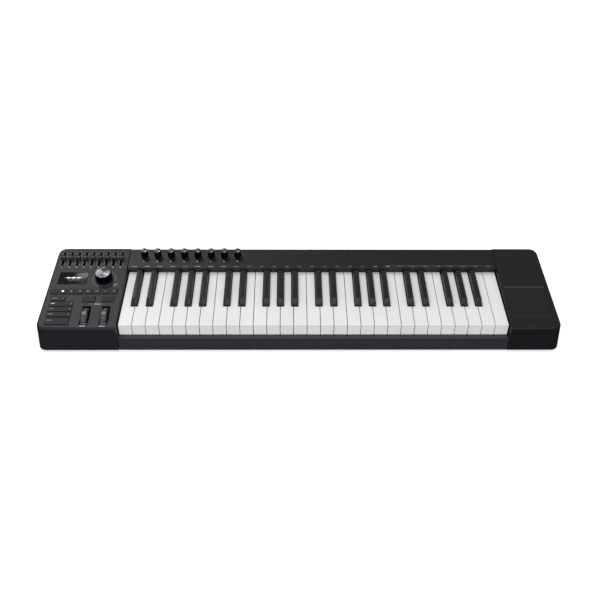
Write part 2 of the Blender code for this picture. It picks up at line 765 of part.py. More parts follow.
def rear_knobs(finish):
    shape = bmesh.new()
    bore = KNOB_SHAFT_RADIUS + CLEARANCE
    turned(shape, knob_profile(KNOB_RADIUS, KNOB_HEIGHT, bore, KNOB_FLOAT), Matrix(), 20)
    place = panel_frame(knob_x(0), KNOB_Y, -STRIP_DROP)
    first = add_object("knob_1", shape, finish, place)
    shade_round(first)
    for i in range(1, KNOB_COUNT):
        copy_to(first, f"knob_{i + 1}", panel_frame(knob_x(i), KNOB_Y, -STRIP_DROP))


def keypad(name, buttons, finish):
    """Silicone mat under the top, with button tops that stand up through the holes."""
    left = min(x - size[0] / 2 for x, y, size in buttons) - MAT_MARGIN
    right = max(x + size[0] / 2 for x, y, size in buttons) + MAT_MARGIN
    near = min(y - size[1] / 2 for x, y, size in buttons) - MAT_MARGIN
    far = max(y + size[1] / 2 for x, y, size in buttons) + MAT_MARGIN
    centre = ((left + right) / 2, (near + far) / 2)
    place = panel_frame(*centre)
    shape = bmesh.new()
    centred_box(shape, (right - left, (far - near)), MAT_TOP - MAT_THICKNESS, MAT_TOP, place)
    mat = add_object(name, shape, finish)
    tops = bmesh.new()
    for x, y, size in buttons:
        centred_box(tops, size, MAT_TOP - MAT_THICKNESS / 2, BUTTON_RISE, panel_frame(x, y))
    combine(mat, add_guide(name + "_tops", tops), "UNION")
    settle(mat)
    set_origin(mat, place)


def wheel(name, x, finish):
    """Drum on two stubs, its rim rounded and notched for the thumb."""
    half = WHEEL_WIDTH / 2
    rim = WHEEL_RIM
    lean = Matrix.Translation((x, WHEEL_Y, wheel_axis_z()))
    place = lean @ Matrix.Rotation(TOP_SLOPE, 4, "X") @ Matrix.Rotation(QUARTER_TURN, 4, "Y")
    profile = [(0, -WHEEL_STUB_REACH), (WHEEL_STUB_RADIUS, -WHEEL_STUB_REACH), (WHEEL_STUB_RADIUS, -half)]
    profile += [(WHEEL_RADIUS - rim, -half), (WHEEL_RADIUS, -half + rim)]
    profile += [(radius, -z) for radius, z in profile[::-1]]
    shape = bmesh.new()
    turned(shape, profile, Matrix(), 40)
    drum = add_object(name, shape, finish)
    notch = bmesh.new()
    reach = WHEEL_RADIUS + WHEEL_NOTCH_LIFT
    across = reach * math.cos(WHEEL_NOTCH_ANGLE)
    along = reach * math.sin(WHEEL_NOTCH_ANGLE)
    rod(notch, WHEEL_NOTCH_RADIUS, -half - rim, half + rim, Matrix.Translation((-across, along, 0)), 24)
    combine(drum, add_guide(name + "_notch", notch), "DIFFERENCE")
    settle(drum)
    drum.matrix_world = place
    shade_round(drum)


def display_window(finish):
    shape = bmesh.new()
    centred_box(shape, DISPLAY_SIZE, -PANEL / 2 + GAP, -GAP, Matrix())
    add_object("display_window", shape, finish, panel_frame(*DISPLAY_CENTRE))


def touchpad(finish):
    shape = bmesh.new()
    centred_box(shape, PAD_SIZE, -PANEL / 2 + GAP, -GAP, Matrix())
    add_object("touchpad", shape, finish, panel_frame(*PAD_CENTRE))


# ---- inside ----
def keybed_chassis(finish):
    """Bent sheet that carries the keys: a raised table, a back wall and guide posts."""
    floor_z = COVER_TOP + GAP + CHASSIS_SHEET / 2
    table_z = CONTACT_BOARD_Z - GAP - CHASSIS_SHEET / 2
    back = PIVOT_Y + PIVOT_DEPTH
    path = [(CHASSIS_FRONT, floor_z), (-TABLE_HALF, floor_z), (-TABLE_HALF, table_z), (TABLE_HALF, table_z)]
    path += [(TABLE_HALF, floor_z), (back, floor_z), (back, CHASSIS_WALL_TOP)]
    left = -LEFT_INNER + WALL
    right = RIGHT_INNER - WALL
    shape = bmesh.new()
    profile_along_x(shape, sheet_profile(path, CHASSIS_SHEET), left, right)
    chassis = add_object("keybed_chassis", shape, finish)
    posts = bmesh.new()
    for span in all_white_spans():
        place = Matrix.Translation(((span[2] + span[3]) / 2, POST_Y, 0))
        centred_box(posts, POST_SIZE, floor_z, POST_TOP, place)
    combine(chassis, add_guide("guide_posts", posts), "UNION")


def key_contact_board(finish):
    """Board on the table, with a raised rubber strip under each row of keys."""
    low = CONTACT_BOARD_Z
    high = low + BOARD_THICKNESS
    outline = [(-CONTACT_BOARD_HALF, low), (-CONTACT_BOARD_HALF, high)]
    for start, end in CONTACT_STRIPS:
        outline += [(start, high), (start + CONTACT_SLOPE, CONTACT_TOP)]
        outline += [(end - CONTACT_SLOPE, CONTACT_TOP), (end, high)]
    outline += [(CONTACT_BOARD_HALF, high), (CONTACT_BOARD_HALF, low)]
    shape = bmesh.new()
    profile_along_x(shape, outline, -LEFT_INNER + 2 * WALL, RIGHT_INNER - 2 * WALL)
    add_object("key_contact_board", shape, finish)


def control_board(finish):
    """Board under the controls that runs on behind the keys to the knobs."""
    low = BOARD_TOP - BOARD_THICKNESS
    place = panel_frame(0, 0)
    left = -HALF_WIDTH + 4 * WALL
    block_right = -LEFT_INNER - 2 * WALL
    knobs_right = knob_x(KNOB_COUNT - 1) + KNOB_PITCH / 2
    back = REAR - 4 * WALL
    outline = [(left, BOARD_FRONT), (block_right, BOARD_FRONT), (block_right, BOARD_KNOBS_FRONT)]
    outline += [(knobs_right, BOARD_KNOBS_FRONT), (knobs_right, back), (left, back)]
    shape = bmesh.new()
    outline_up(shape, outline, low, BOARD_TOP, place)
    board = add_object("control_board", shape, finish)
    root = BOARD_TOP - BOARD_THICKNESS / 2
    parts = bmesh.new()
    for i in range(FADER_COUNT):
        fader_top = BOARD_TOP + FADER_BODY[2]
        centred_box(parts, FADER_BODY[:2], root, fader_top, panel_frame(fader_x(i), FADER_Y))
    encoder_top = ENCODER_HEIGHT * KNOB_BORE_SHARE - 2 * CLEARANCE
    profile = [(0, root), (ENCODER_BODY_RADIUS, root), (ENCODER_BODY_RADIUS, -2 * PANEL)]
    profile.append((SHAFT_RADIUS, -2 * PANEL))
    profile += [(SHAFT_RADIUS, encoder_top), (0, encoder_top)]
    turned(parts, profile, panel_frame(*ENCODER_CENTRE), 16)
    knob_top = KNOB_HEIGHT * KNOB_BORE_SHARE - STRIP_DROP - 2 * CLEARANCE
    body_top = -STRIP_DROP - 2 * PANEL
    profile = [(0, root), (POT_BODY_RADIUS, root), (POT_BODY_RADIUS, body_top)]
    profile += [(KNOB_SHAFT_RADIUS, body_top), (KNOB_SHAFT_RADIUS, knob_top), (0, knob_top)]
    for i in range(KNOB_COUNT):
        turned(parts, profile, panel_frame(knob_x(i), KNOB_Y), 12)
    combine(board, add_guide("board_parts", parts), "UNION")


def connector_board(finish):
    """Board behind the left housing's back wall, with four sockets that show outside."""
    board_back = REAR - WALL - GAP
    low = PORT_BOARD_Z
    high = PORT_BOARD_Z + BOARD_THICKNESS
    shape = bmesh.new()
    box(shape, (PORT_BOARD_X[0], PORT_BOARD_FRONT, low), (PORT_BOARD_X[1], board_back, high))
    board = add_object("connector_board", shape, finish)
    blocks = bmesh.new()
    block_low = (low + high) / 2
    sockets = [(x, JACK_BLOCK, JACK_BLOCK[0] / 2) for x in JACK_X]
    sockets += [(MIDI_X, MIDI_BLOCK, MIDI_BLOCK[0] / 2), (USB_X, USB_BLOCK, USB_BLOCK_RISE)]
    for x, (width, length), rise in sockets:
        low_corner = (x - width / 2, board_back - length, block_low)
        box(blocks, low_corner, (x + width / 2, board_back, PORT_Z + rise))
    combine(board, add_guide("socket_blocks", blocks), "UNION")
    noses = bmesh.new()
    nose_root = -2 * WALL
    for x in JACK_X:
        rod(noses, JACK_NOSE_RADIUS, nose_root, 0.0, rear_frame(x, PORT_Z), 16)
    rod(noses, MIDI_NOSE_RADIUS, nose_root, 0.0, rear_frame(MIDI_X, PORT_Z), 24)
    centred_box(noses, USB_SHELL, nose_root, 0.0, rear_frame(USB_X, PORT_Z))
    combine(board, add_guide("socket_noses", noses), "UNION")
    bores = bmesh.new()
    for x in JACK_X:
        rod(bores, JACK_BORE_RADIUS, -JACK_BORE_DEPTH, WALL, rear_frame(x, PORT_Z), 12)
    rod(bores, MIDI_BORE_RADIUS, -MIDI_BORE_DEPTH, WALL, rear_frame(MIDI_X, PORT_Z), 20)
    centred_box(bores, grown(USB_SHELL, -USB_WALL), -USB_BORE_DEPTH, WALL, rear_frame(USB_X, PORT_Z))
    combine(board, add_guide("socket_bores", bores), "DIFFERENCE")


def build():
    clear_scene()
    case_black = make_material("case_abs", (0.040, 0.039, 0.043), 0.42)
    side_black = make_material("right_abs", (0.027, 0.026, 0.030), 0.42)
    cover_black = make_material("cover_abs", (0.02, 0.02, 0.022), 0.6)
    strip_metal = make_material("strip_aluminium", (0.035, 0.035, 0.039), 0.36, 0.6)
    rail_metal = make_material("rail_aluminium", (0.03, 0.029, 0.033), 0.36, 0.6)
    ivory = make_material("key_white_abs", (0.87, 0.87, 0.86), 0.3)
    ebony = make_material("key_black_abs", (0.022, 0.021, 0.024), 0.35)
    button_rubber = make_material("button_silicone", (0.035, 0.034, 0.037), 0.55)
    cap_black = make_material("fader_cap_abs", (0.05, 0.05, 0.052), 0.4)
    knob_metal = make_material("knob_aluminium", (0.09, 0.09, 0.095), 0.25, 0.9)
    encoder_metal = make_material("encoder_aluminium", (0.12, 0.12, 0.125), 0.22, 0.9)
    wheel_rubber = make_material("wheel_rubber", (0.02, 0.02, 0.021), 0.5)
    glass = make_material("display_glass", (0.005, 0.005, 0.006), 0.08)
    pad_film = make_material("touchpad_film", (0.018, 0.018, 0.020), 0.5)
    foot_rubber = make_material("foot_rubber", (0.01, 0.01, 0.01), 0.8)
    steel = make_material("chassis_steel", (0.35, 0.36, 0.37), 0.4, 1.0)
    board_green = make_material("board_laminate", (0.01, 0.07, 0.03), 0.5)

    left_end_housing(case_black)
    right_end_housing(side_black)
    rear_panel(strip_metal)
    front_rail(rail_metal)
    bottom_cover(cover_black)
    for side, x in (("left", -FOOT_X), ("right", FOOT_X)):
        for end, y in (("front", -FOOT_Y), ("rear", FOOT_Y)):
            foot(f"foot_{end}_{side}", x, y, foot_rubber)
    keybed_chassis(steel)
    key_contact_board(board_green)
    control_board(board_green)
    connector_board(board_green)
    display_window(glass)
    touchpad(pad_film)
    keyboard(ivory, ebony)
    fader_caps(cap_black)
    main_encoder_knob(encoder_metal)
    rear_knobs(knob_metal)
    keypad("transport_keypad", square_buttons(), button_rubber)
    keypad("function_keypad", long_buttons(), button_rubber)
    keypad("octave_keypad", octave_buttons(), button_rubber)
    wheel("pitch_wheel", WHEEL_X[0], wheel_rubber)
    wheel("mod_wheel", WHEEL_X[1], wheel_rubber)


build()
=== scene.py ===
import json
import math
import bpy
import numpy as np
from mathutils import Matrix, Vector


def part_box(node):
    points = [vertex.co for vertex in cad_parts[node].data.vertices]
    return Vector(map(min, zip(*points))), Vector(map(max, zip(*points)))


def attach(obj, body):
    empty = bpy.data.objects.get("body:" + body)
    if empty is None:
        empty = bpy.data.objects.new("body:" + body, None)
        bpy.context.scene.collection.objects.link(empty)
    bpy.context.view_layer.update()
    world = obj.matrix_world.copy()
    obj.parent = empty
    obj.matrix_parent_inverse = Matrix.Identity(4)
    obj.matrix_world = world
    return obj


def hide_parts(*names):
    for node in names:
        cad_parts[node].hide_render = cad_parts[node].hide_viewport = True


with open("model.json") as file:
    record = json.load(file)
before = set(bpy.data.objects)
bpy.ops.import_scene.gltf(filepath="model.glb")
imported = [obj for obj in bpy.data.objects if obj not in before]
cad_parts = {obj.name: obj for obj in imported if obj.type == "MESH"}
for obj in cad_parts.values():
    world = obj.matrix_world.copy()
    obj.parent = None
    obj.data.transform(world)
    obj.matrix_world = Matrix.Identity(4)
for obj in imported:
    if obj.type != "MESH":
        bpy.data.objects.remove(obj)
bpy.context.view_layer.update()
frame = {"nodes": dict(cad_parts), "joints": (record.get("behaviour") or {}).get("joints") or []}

nodes = frame["nodes"]
joints = {joint["name"]: joint for joint in frame["joints"]}


# ---- places, all read from the frame
def lowOf(node):
    return np.array(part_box(node)[0])


def highOf(node):
    return np.array(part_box(node)[1])


def middleOf(node):
    return (lowOf(node) + highOf(node)) / 2


panelUp = np.array(joints["main_encoder_turn"]["axis"])   # square to the sloping top
panelBack = np.array([0.0, panelUp[2], -panelUp[1]])      # up the slope, away from the player
panelPoint = np.array(joints["main_encoder_turn"]["pos_m"])
across = np.array([1.0, 0.0, 0.0])


def onPanel(x, y, lift=0.0):
    # a point of the sloping top at width x and depth y, raised square to it by lift
    x, y, lift = np.broadcast_arrays(np.asarray(x, float), np.asarray(y, float), np.asarray(lift, float))
    height = panelPoint[2] + (y - panelPoint[1]) * panelBack[2] / panelBack[1]
    return np.stack([x, y, height], -1) + lift[..., None] * panelUp


def fromPanel(origin, points):
    # points given as (across, up the slope, out of the panel), laid from an origin on the panel
    points = np.asarray(points, float)
    return origin + points[..., 0:1] * across + points[..., 1:2] * panelBack + points[..., 2:3] * panelUp


# ---- camera, floor, light
cameraSettings = {
    "place": (-0.01687, -1.18569, 1.07399), "pitch": 41.346, "yaw": -0.675,
    "lens": 51.673, "sensor": 36.0,
}
lightSettings = {
    "worldAbove": 0.44, "worldBelow": 0.05, "worldSeen": 1.0, "horizon": 0.08,
    "floorSize": 12.0, "floorColour": "#f4f4f4", "floorGlow": 0.55,
    # name: (place, aim, width, depth, watts, colour); the display's glass mirrors the small glassCard
    "lamps": {
        "keySoftbox": ((-1.7, 2.7, 3.9), (0.0, 0.0, 0.05), 1.0, 0.8, 62.0, "#ffffff"),
        "topSoftbox": ((0.3, -0.35, 4.0), (0.0, 0.0, 0.05), 2.6, 0.9, 42.0, "#ffffff"),
        "glassCard": ((-0.738, 1.045, 1.115), (-0.392, 0.033, 0.0638), 0.05, 0.03, 0.05, "#ffffff"),
        "frontFill": ((0.0, -2.9, 0.9), (0.0, -0.05, 0.05), 2.6, 0.8, 64.0, "#fbfcff"),
    },
}


def toLinear(hexColour):
    # sRGB to linear light: straight below 0.04045, a 2.4 power above it
    srgb = np.array([int(hexColour[i:i + 2], 16) for i in (1, 3, 5)]) / 255
    linear = np.where(srgb <= 0.04045, srgb / 12.92, ((srgb + 0.055) / 1.055) ** 2.4)
    return (*linear.tolist(), 1.0)


def addNode(tree, kind, settings=None, links=None):
    # a node with its properties and socket values set, and its inputs joined to other nodes' outputs
    node = tree.nodes.new(kind)
    for key, value in (settings or {}).items():
        if key == "stops":
            ramp = node.color_ramp.elements
            while len(ramp) < len(value):
                ramp.new(0.5)
            for element, (position, hexColour) in zip(ramp, value):
                element.position = position
                element.color = toLinear(hexColour)
        elif isinstance(key, str) and hasattr(node, key):
            setattr(node, key, value)
        else:
            node.inputs[key].default_value = value
    for key, output in (links or {}).items():
        tree.links.new(output, node.inputs[key])
    return node


def aimAt(thing, target):
    thing.rotation_mode = "QUATERNION"
    thing.rotation_quaternion = (Vector(target) - Vector(thing.location)).to_track_quat("-Z", "Y")


def setStage(look, cam):
    camera = bpy.data.objects.new("camera", bpy.data.cameras.new("camera"))
    bpy.context.scene.collection.objects.link(camera)
    camera.data.lens = cam["lens"]
    camera.data.sensor_width = cam["sensor"]
    camera.data.clip_end = 50.0
    camera.location = cam["place"]
    camera.rotation_mode = "YXZ"   # turned about its own upright first, then tipped down
    camera.rotation_euler = (math.radians(90 - cam["pitch"]), math.radians(cam["yaw"]), 0.0)
    bpy.context.scene.camera = camera

    half = look["floorSize"] / 2
    floor = bpy.data.objects.new("floor", bpy.data.meshes.new("floor"))
    floor.data.from_pydata([(-half, -half, 0), (half, -half, 0), (half, half, 0), (-half, half, 0)], [],
                           [(0, 1, 2, 3)])
    bpy.context.scene.collection.objects.link(floor)
    paper = bpy.data.materials.new("matte_paper_sweep")
    paper.use_nodes = True
    shader = paper.node_tree.nodes["Principled BSDF"]
    shader.inputs["Base Color"].default_value = toLinear(look["floorColour"])
    shader.inputs["Roughness"].default_value = 0.9
    shader.inputs["Emission Color"].default_value = toLinear(look["floorColour"])
    shader.inputs["Emission Strength"].default_value = look["floorGlow"]
    floor.data.materials.append(paper)
    floor.visible_glossy = False
    floor.visible_diffuse = False

    world = bpy.data.worlds.new("studio")
    bpy.context.scene.world = world
    world.use_nodes = True
    tree = world.node_tree
    tree.nodes.clear()
    coords = addNode(tree, "ShaderNodeTexCoord")
    split = addNode(tree, "ShaderNodeSeparateXYZ", links={"Vector": coords.outputs["Generated"]})
    level = addNode(tree, "ShaderNodeMapRange",
                    {"From Min": -look["horizon"], "From Max": look["horizon"],
                     "To Min": look["worldBelow"], "To Max": look["worldAbove"]},
                    {"Value": split.outputs["Z"]})
    path = addNode(tree, "ShaderNodeLightPath")
    lit = addNode(tree, "ShaderNodeBackground", links={"Strength": level.outputs["Result"]})
    seen = addNode(tree, "ShaderNodeBackground", {"Strength": look["worldSeen"], "Color": (1, 1, 1, 1)})
    lit.inputs["Color"].default_value = (1, 1, 1, 1)
    mix = addNode(tree, "ShaderNodeMixShader",
                  links={"Fac": path.outputs["Is Camera Ray"], 1: lit.outputs[0], 2: seen.outputs[0]})
    addNode(tree, "ShaderNodeOutputWorld", links={"Surface": mix.outputs[0]})

    for name, (place, target, width, depth, watts, tint) in look["lamps"].items():
        lamp = bpy.data.objects.new(name, bpy.data.lights.new(name, "AREA"))
        lamp.data.shape = "RECTANGLE"
        lamp.data.size, lamp.data.size_y = width, depth
        lamp.data.energy = watts
        lamp.data.color = toLinear(tint)[:3]
        lamp.location = place
        aimAt(lamp, target)
        bpy.context.scene.collection.objects.link(lamp)
    bpy.context.scene.view_settings.view_transform = "Standard"


setStage(lightSettings, cameraSettings)
print("stage set")


# ---- meshes
def gridFaces(rows, columns, closed=True):
    # four-sided faces between neighbouring rows and columns; closed joins the last column to the first
    row = np.arange(rows - 1)[:, None]
    column = np.arange(columns if closed else columns - 1)[None, :]
    near, far = row * columns, (row + 1) * columns
    ahead = (column + 1) % columns
    return np.stack([near + column, near + ahead, far + ahead, far + column], -1).reshape(-1, 4)


def loftShape(rings, finish=0, closeStart=True, closeEnd=True):
    # skin over closed rings (rings, points, 3), with a flat face over the first and the last
    rings = np.asarray(rings, float)
    count, points = rings.shape[:2]
    blocks = [gridFaces(count, points)]
    if closeStart:
        blocks.append(np.arange(points)[None, ::-1])
    if closeEnd:
        blocks.append((np.arange(points) + (count - 1) * points)[None, :])
    return rings.reshape(-1, 3), blocks, finish


def slabShapes(low, high, place, finish=0):
    # many thin blocks at once: corners low and high (n, 3), laid through place(points)
    low, high = np.atleast_2d(low).astype(float), np.atleast_2d(high).astype(float)
    pick = np.array([[0, 0, 0], [1, 0, 0], [1, 1, 0], [0, 1, 0], [0, 0, 1], [1, 0, 1], [1, 1, 1],
                     [0, 1, 1]])
    corners = low[:, None, :] + (high - low)[:, None, :] * pick[None]
    sides = np.array([[3, 2, 1, 0], [4, 5, 6, 7], [0, 1, 5, 4], [1, 2, 6, 5], [2, 3, 7, 6], [3, 0, 4, 7]])
    faces = (np.arange(len(low)) * 8)[:, None, None] + sides[None]
    return place(corners.reshape(-1, 3)), [faces.reshape(-1, 4)], finish


def makePiece(name, shapes, finishes, body, replaced=(), smooth=38.0, bevel=None):
    # joins shapes into one mesh; edges that fold by more than smooth degrees stay crisp or take the bevel
    points = np.concatenate([shape[0].reshape(-1, 3) for shape in shapes])
    faces, marks, start = [], [], 0
    for corners, blocks, finish in shapes:
        for block in blocks:
            faces += (block + start).tolist()
            marks += [finish] * len(block)
        start += len(corners.reshape(-1, 3))
    mesh = bpy.data.meshes.new(name)
    mesh.from_pydata(points.tolist(), [], faces)
    for finish in finishes:
        mesh.materials.append(finish)
    mesh.polygons.foreach_set("material_index", marks)
    mesh.polygons.foreach_set("use_smooth", [True] * len(faces))
    mesh.set_sharp_from_angle(angle=math.radians(smooth))
    mesh.update()
    piece = bpy.data.objects.new(name, mesh)
    bpy.context.scene.collection.objects.link(piece)
    if bevel:
        rounding = piece.modifiers.new("rounded edges", "BEVEL")
        rounding.width, rounding.segments = bevel, 2
        rounding.limit_method, rounding.angle_limit = "ANGLE", math.radians(smooth)
        rounding.harden_normals = False
        evening = piece.modifiers.new("even shading", "WEIGHTED_NORMAL")
        evening.keep_sharp = True
    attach(piece, body)
    if replaced:
        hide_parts(*replaced)
    return piece


def smoothingGroup(angle):
    # shades a mesh smooth, except over edges that fold by more than the angle
    group = bpy.data.node_groups.new("smooth_below_angle", "GeometryNodeTree")
    group.interface.new_socket("Geometry", in_out="INPUT", socket_type="NodeSocketGeometry")
    group.interface.new_socket("Geometry", in_out="OUTPUT", socket_type="NodeSocketGeometry")
    inlet = addNode(group, "NodeGroupInput")
    fold = addNode(group, "GeometryNodeInputMeshEdgeAngle")
    crisp = addNode(group, "FunctionNodeCompare", {"operation": "LESS_EQUAL", 1: math.radians(angle)},
                    {0: fold.outputs["Unsigned Angle"]})
    faces = addNode(group, "GeometryNodeSetShadeSmooth", {"domain": "FACE"}, {"Geometry": inlet.outputs[0]})
    edges = addNode(group, "GeometryNodeSetShadeSmooth", {"domain": "EDGE"},
                    {"Geometry": faces.outputs[0], "Shade Smooth": crisp.outputs[0]})
    addNode(group, "NodeGroupOutput", links={0: edges.outputs[0]})
    return group


smoothGroup = smoothingGroup(40.0)


def dressNode(name, finish, slot=None, width=0.0):
    # a carried-over node: its triangles joined, its edges broken by width, shaded smooth over its fillets
    thing = nodes[name]
    thing.data.materials.clear()
    thing.data.materials.append(finish)
    weld = thing.modifiers.new("joined triangles", "WELD")
    weld.merge_threshold = 0.000004
    if width:
        rounding = thing.modifiers.new("broken edges", "BEVEL")
        rounding.width, rounding.segments = width, 2
        rounding.limit_method, rounding.angle_limit = "ANGLE", math.radians(50)
        rounding.use_clamp_overlap = True
    shade = thing.modifiers.new("smooth", "NODES")
    shade.node_group = smoothGroup
    evening = thing.modifiers.new("even shading", "WEIGHTED_NORMAL")
    evening.keep_sharp = True
    return thing


# ---- materials
def startMaterial(name, settings):
    material = bpy.data.materials.new(name)
    material.use_nodes = True
    tree = material.node_tree
    tree.nodes.clear()
    coords = addNode(tree, "ShaderNodeTexCoord").outputs["Object"]
    shader = addNode(tree, "ShaderNodeBsdfPrincipled", settings)
    addNode(tree, "ShaderNodeOutputMaterial", links={"Surface": shader.outputs["BSDF"]})
    return material, tree, coords, shader


def mouldedPlastic(name, look):
    # moulded plastic or rubber: fine pits break up the gloss and the tone drifts from patch to patch
    settings = {"IOR": 1.53, "Specular IOR Level": look["gloss"]}
    material, tree, coords, shader = startMaterial(name, settings)
    drift = addNode(tree, "ShaderNodeTexNoise", {"Scale": 1 / look["patch"], "Detail": 3.0},
                    {"Vector": coords})
    tone = addNode(tree, "ShaderNodeValToRGB", {"stops": [(0.35, look["dark"]), (0.65, look["light"])]},
                   {"Fac": drift.outputs["Fac"]})
    grain = addNode(tree, "ShaderNodeTexNoise",
                    {"Scale": 1 / look["grain"], "Detail": 2.0, "Roughness": 0.6},
                    {"Vector": coords})
    sheen = addNode(tree, "ShaderNodeMapRange",
                    {"From Min": 0.3, "From Max": 0.7,
                     "To Min": look["rough"][0], "To Max": look["rough"][1]},
                    {"Value": grain.outputs["Fac"]})
    pits = addNode(tree, "ShaderNodeBump", {"Strength": 1.0, "Distance": look["pit"]},
                   {"Height": grain.outputs["Fac"]})
    tree.links.new(tone.outputs["Color"], shader.inputs["Base Color"])
    tree.links.new(sheen.outputs["Result"], shader.inputs["Roughness"])
    tree.links.new(pits.outputs["Normal"], shader.inputs["Normal"])
    return material


plasticLooks = {
    # patch, grain and pit are sizes in metres
    "abs_grey_black_spark_eroded": {"dark": "#1f1e23", "light": "#222126", "patch": 0.06, "grain": 0.00045,
                                    "rough": (0.4, 0.5), "pit": 0.00002, "gloss": 0.2},
    "abs_black_spark_eroded": {"dark": "#161519", "light": "#19181c", "patch": 0.06, "grain": 0.00045,
                               "rough": (0.4, 0.5), "pit": 0.00002, "gloss": 0.16},
    "abs_black_coarse_grain": {"dark": "#141416", "light": "#18181a", "patch": 0.05, "grain": 0.0012,
                               "rough": (0.55, 0.7), "pit": 0.00006, "gloss": 0.3},
    "abs_black_key_matt": {"dark": "#131217", "light": "#17161b", "patch": 0.02, "grain": 0.0004,
                           "rough": (0.3, 0.4), "pit": 0.00001, "gloss": 0.24},
    "abs_cap_satin": {"dark": "#151516", "light": "#19191b", "patch": 0.01, "grain": 0.0003,
                      "rough": (0.34, 0.44), "pit": 0.00001, "gloss": 0.28},
    "nylon_socket_black": {"dark": "#101011", "light": "#151516", "patch": 0.01, "grain": 0.0005,
                           "rough": (0.4, 0.5), "pit": 0.00001, "gloss": 0.4},
    "silicone_grey_black_matt": {"dark": "#1f1e23", "light": "#222126", "patch": 0.02, "grain": 0.0005,
                                 "rough": (0.5, 0.6), "pit": 0.00001, "gloss": 0.2},
    "rubber_black_wheel": {"dark": "#0d0d0e", "light": "#131314", "patch": 0.006, "grain": 0.0004,
                           "rough": (0.22, 0.32), "pit": 0.000006, "gloss": 0.5},
    # painted highlights on the wheels' ribs and raised bar, and a painted reflection in the thumb notch
    "rubber_grey_inlay": {"dark": "#58585c", "light": "#68686c", "patch": 0.004, "grain": 0.0004,
                          "rough": (0.3, 0.4), "pit": 0.000006, "gloss": 0.5},
    "rubber_black_foot": {"dark": "#111112", "light": "#171717", "patch": 0.006, "grain": 0.0006,
                          "rough": (0.7, 0.85), "pit": 0.00003, "gloss": 0.3},
    "film_black_hard_coated": {"dark": "#100f13", "light": "#131217", "patch": 0.03, "grain": 0.0003,
                               "rough": (0.36, 0.42), "pit": 0.000004, "gloss": 0.25},
    "laminate_black_solder_mask": {"dark": "#0b0b0c", "light": "#101011", "patch": 0.004, "grain": 0.0008,
                                   "rough": (0.5, 0.6), "pit": 0.00001, "gloss": 0.2},
    # painted shade, not a part: the dark bands laid in the gaps round the buttons and along the fader slots
    "rubber_black_seal": {"dark": "#070708", "light": "#0b0b0c", "patch": 0.006, "grain": 0.0006,
                          "rough": (0.7, 0.85), "pit": 0.00001, "gloss": 0.1},
    "laminate_green_solder_mask": {"dark": "#0e3b20", "light": "#17512c", "patch": 0.004, "grain": 0.0008,
                                   "rough": (0.25, 0.4), "pit": 0.00001, "gloss": 0.5},
    "paint_white_screen_print": {"dark": "#c4c4c6", "light": "#d6d6d8", "patch": 0.002, "grain": 0.0003,
                                 "rough": (0.45, 0.6), "pit": 0.00001, "gloss": 0.4},
    # painted highlights: the lines along the touchpad pocket's rear edge (slate, the brighter) and front
    # edge (charcoal)
    "paint_slate_screen_print": {"dark": "#626266", "light": "#6e6e72", "patch": 0.002, "grain": 0.0003,
                                 "rough": (0.45, 0.6), "pit": 0.00001, "gloss": 0.4},
    "paint_charcoal_screen_print": {"dark": "#2c2c2f", "light": "#323235", "patch": 0.002, "grain": 0.0003,
                                    "rough": (0.45, 0.6), "pit": 0.00001, "gloss": 0.4},
    "paint_grey_screen_print": {"dark": "#8a8a8d", "light": "#98989b", "patch": 0.002, "grain": 0.0003,
                                "rough": (0.45, 0.6), "pit": 0.00001, "gloss": 0.4},
}
plastic = {name: mouldedPlastic(name, look) for name, look in plasticLooks.items()}


def polishedKeyPlastic(name, look):
    # ABS from a polished mould: bright and glossy, with the long, faint waves of a moulded face
    settings = {"IOR": 1.53, "Specular IOR Level": 0.5, "Coat Weight": look["coat"], "Coat Roughness": 0.12,
                "Subsurface Weight": look["glow"], "Subsurface Scale": 0.002}
    material, tree, coords, shader = startMaterial(name, settings)
    shader.inputs["Subsurface Radius"].default_value = (1.0, 0.9, 0.8)
    drift = addNode(tree, "ShaderNodeTexNoise", {"Scale": 1 / look["patch"], "Detail": 2.0},
                    {"Vector": coords})
    tone = addNode(tree, "ShaderNodeValToRGB", {"stops": [(0.3, look["dark"]), (0.7, look["light"])]},
                   {"Fac": drift.outputs["Fac"]})
    wave = addNode(tree, "ShaderNodeTexNoise", {"Scale": 1 / look["wave"], "Detail": 1.0},
                   {"Vector": coords})
    ripple = addNode(tree, "ShaderNodeBump", {"Strength": 1.0, "Distance": look["ripple"]},
                     {"Height": wave.outputs["Fac"]})
    sheen = addNode(tree, "ShaderNodeMapRange", {"To Min": look["rough"][0], "To Max": look["rough"][1]},
                    {"Value": drift.outputs["Fac"]})
    tree.links.new(tone.outputs["Color"], shader.inputs["Base Color"])
    tree.links.new(sheen.outputs["Result"], shader.inputs["Roughness"])
    tree.links.new(ripple.outputs["Normal"], shader.inputs["Normal"])
    return material


keyWhite = polishedKeyPlastic("abs_white_mould_polished", {
    "dark": "#e2e2e1", "light": "#e7e7e6", "patch": 0.05, "wave": 0.008, "ripple": 0.00001,
    "rough": (0.28, 0.36), "coat": 0.15, "glow": 0.0})


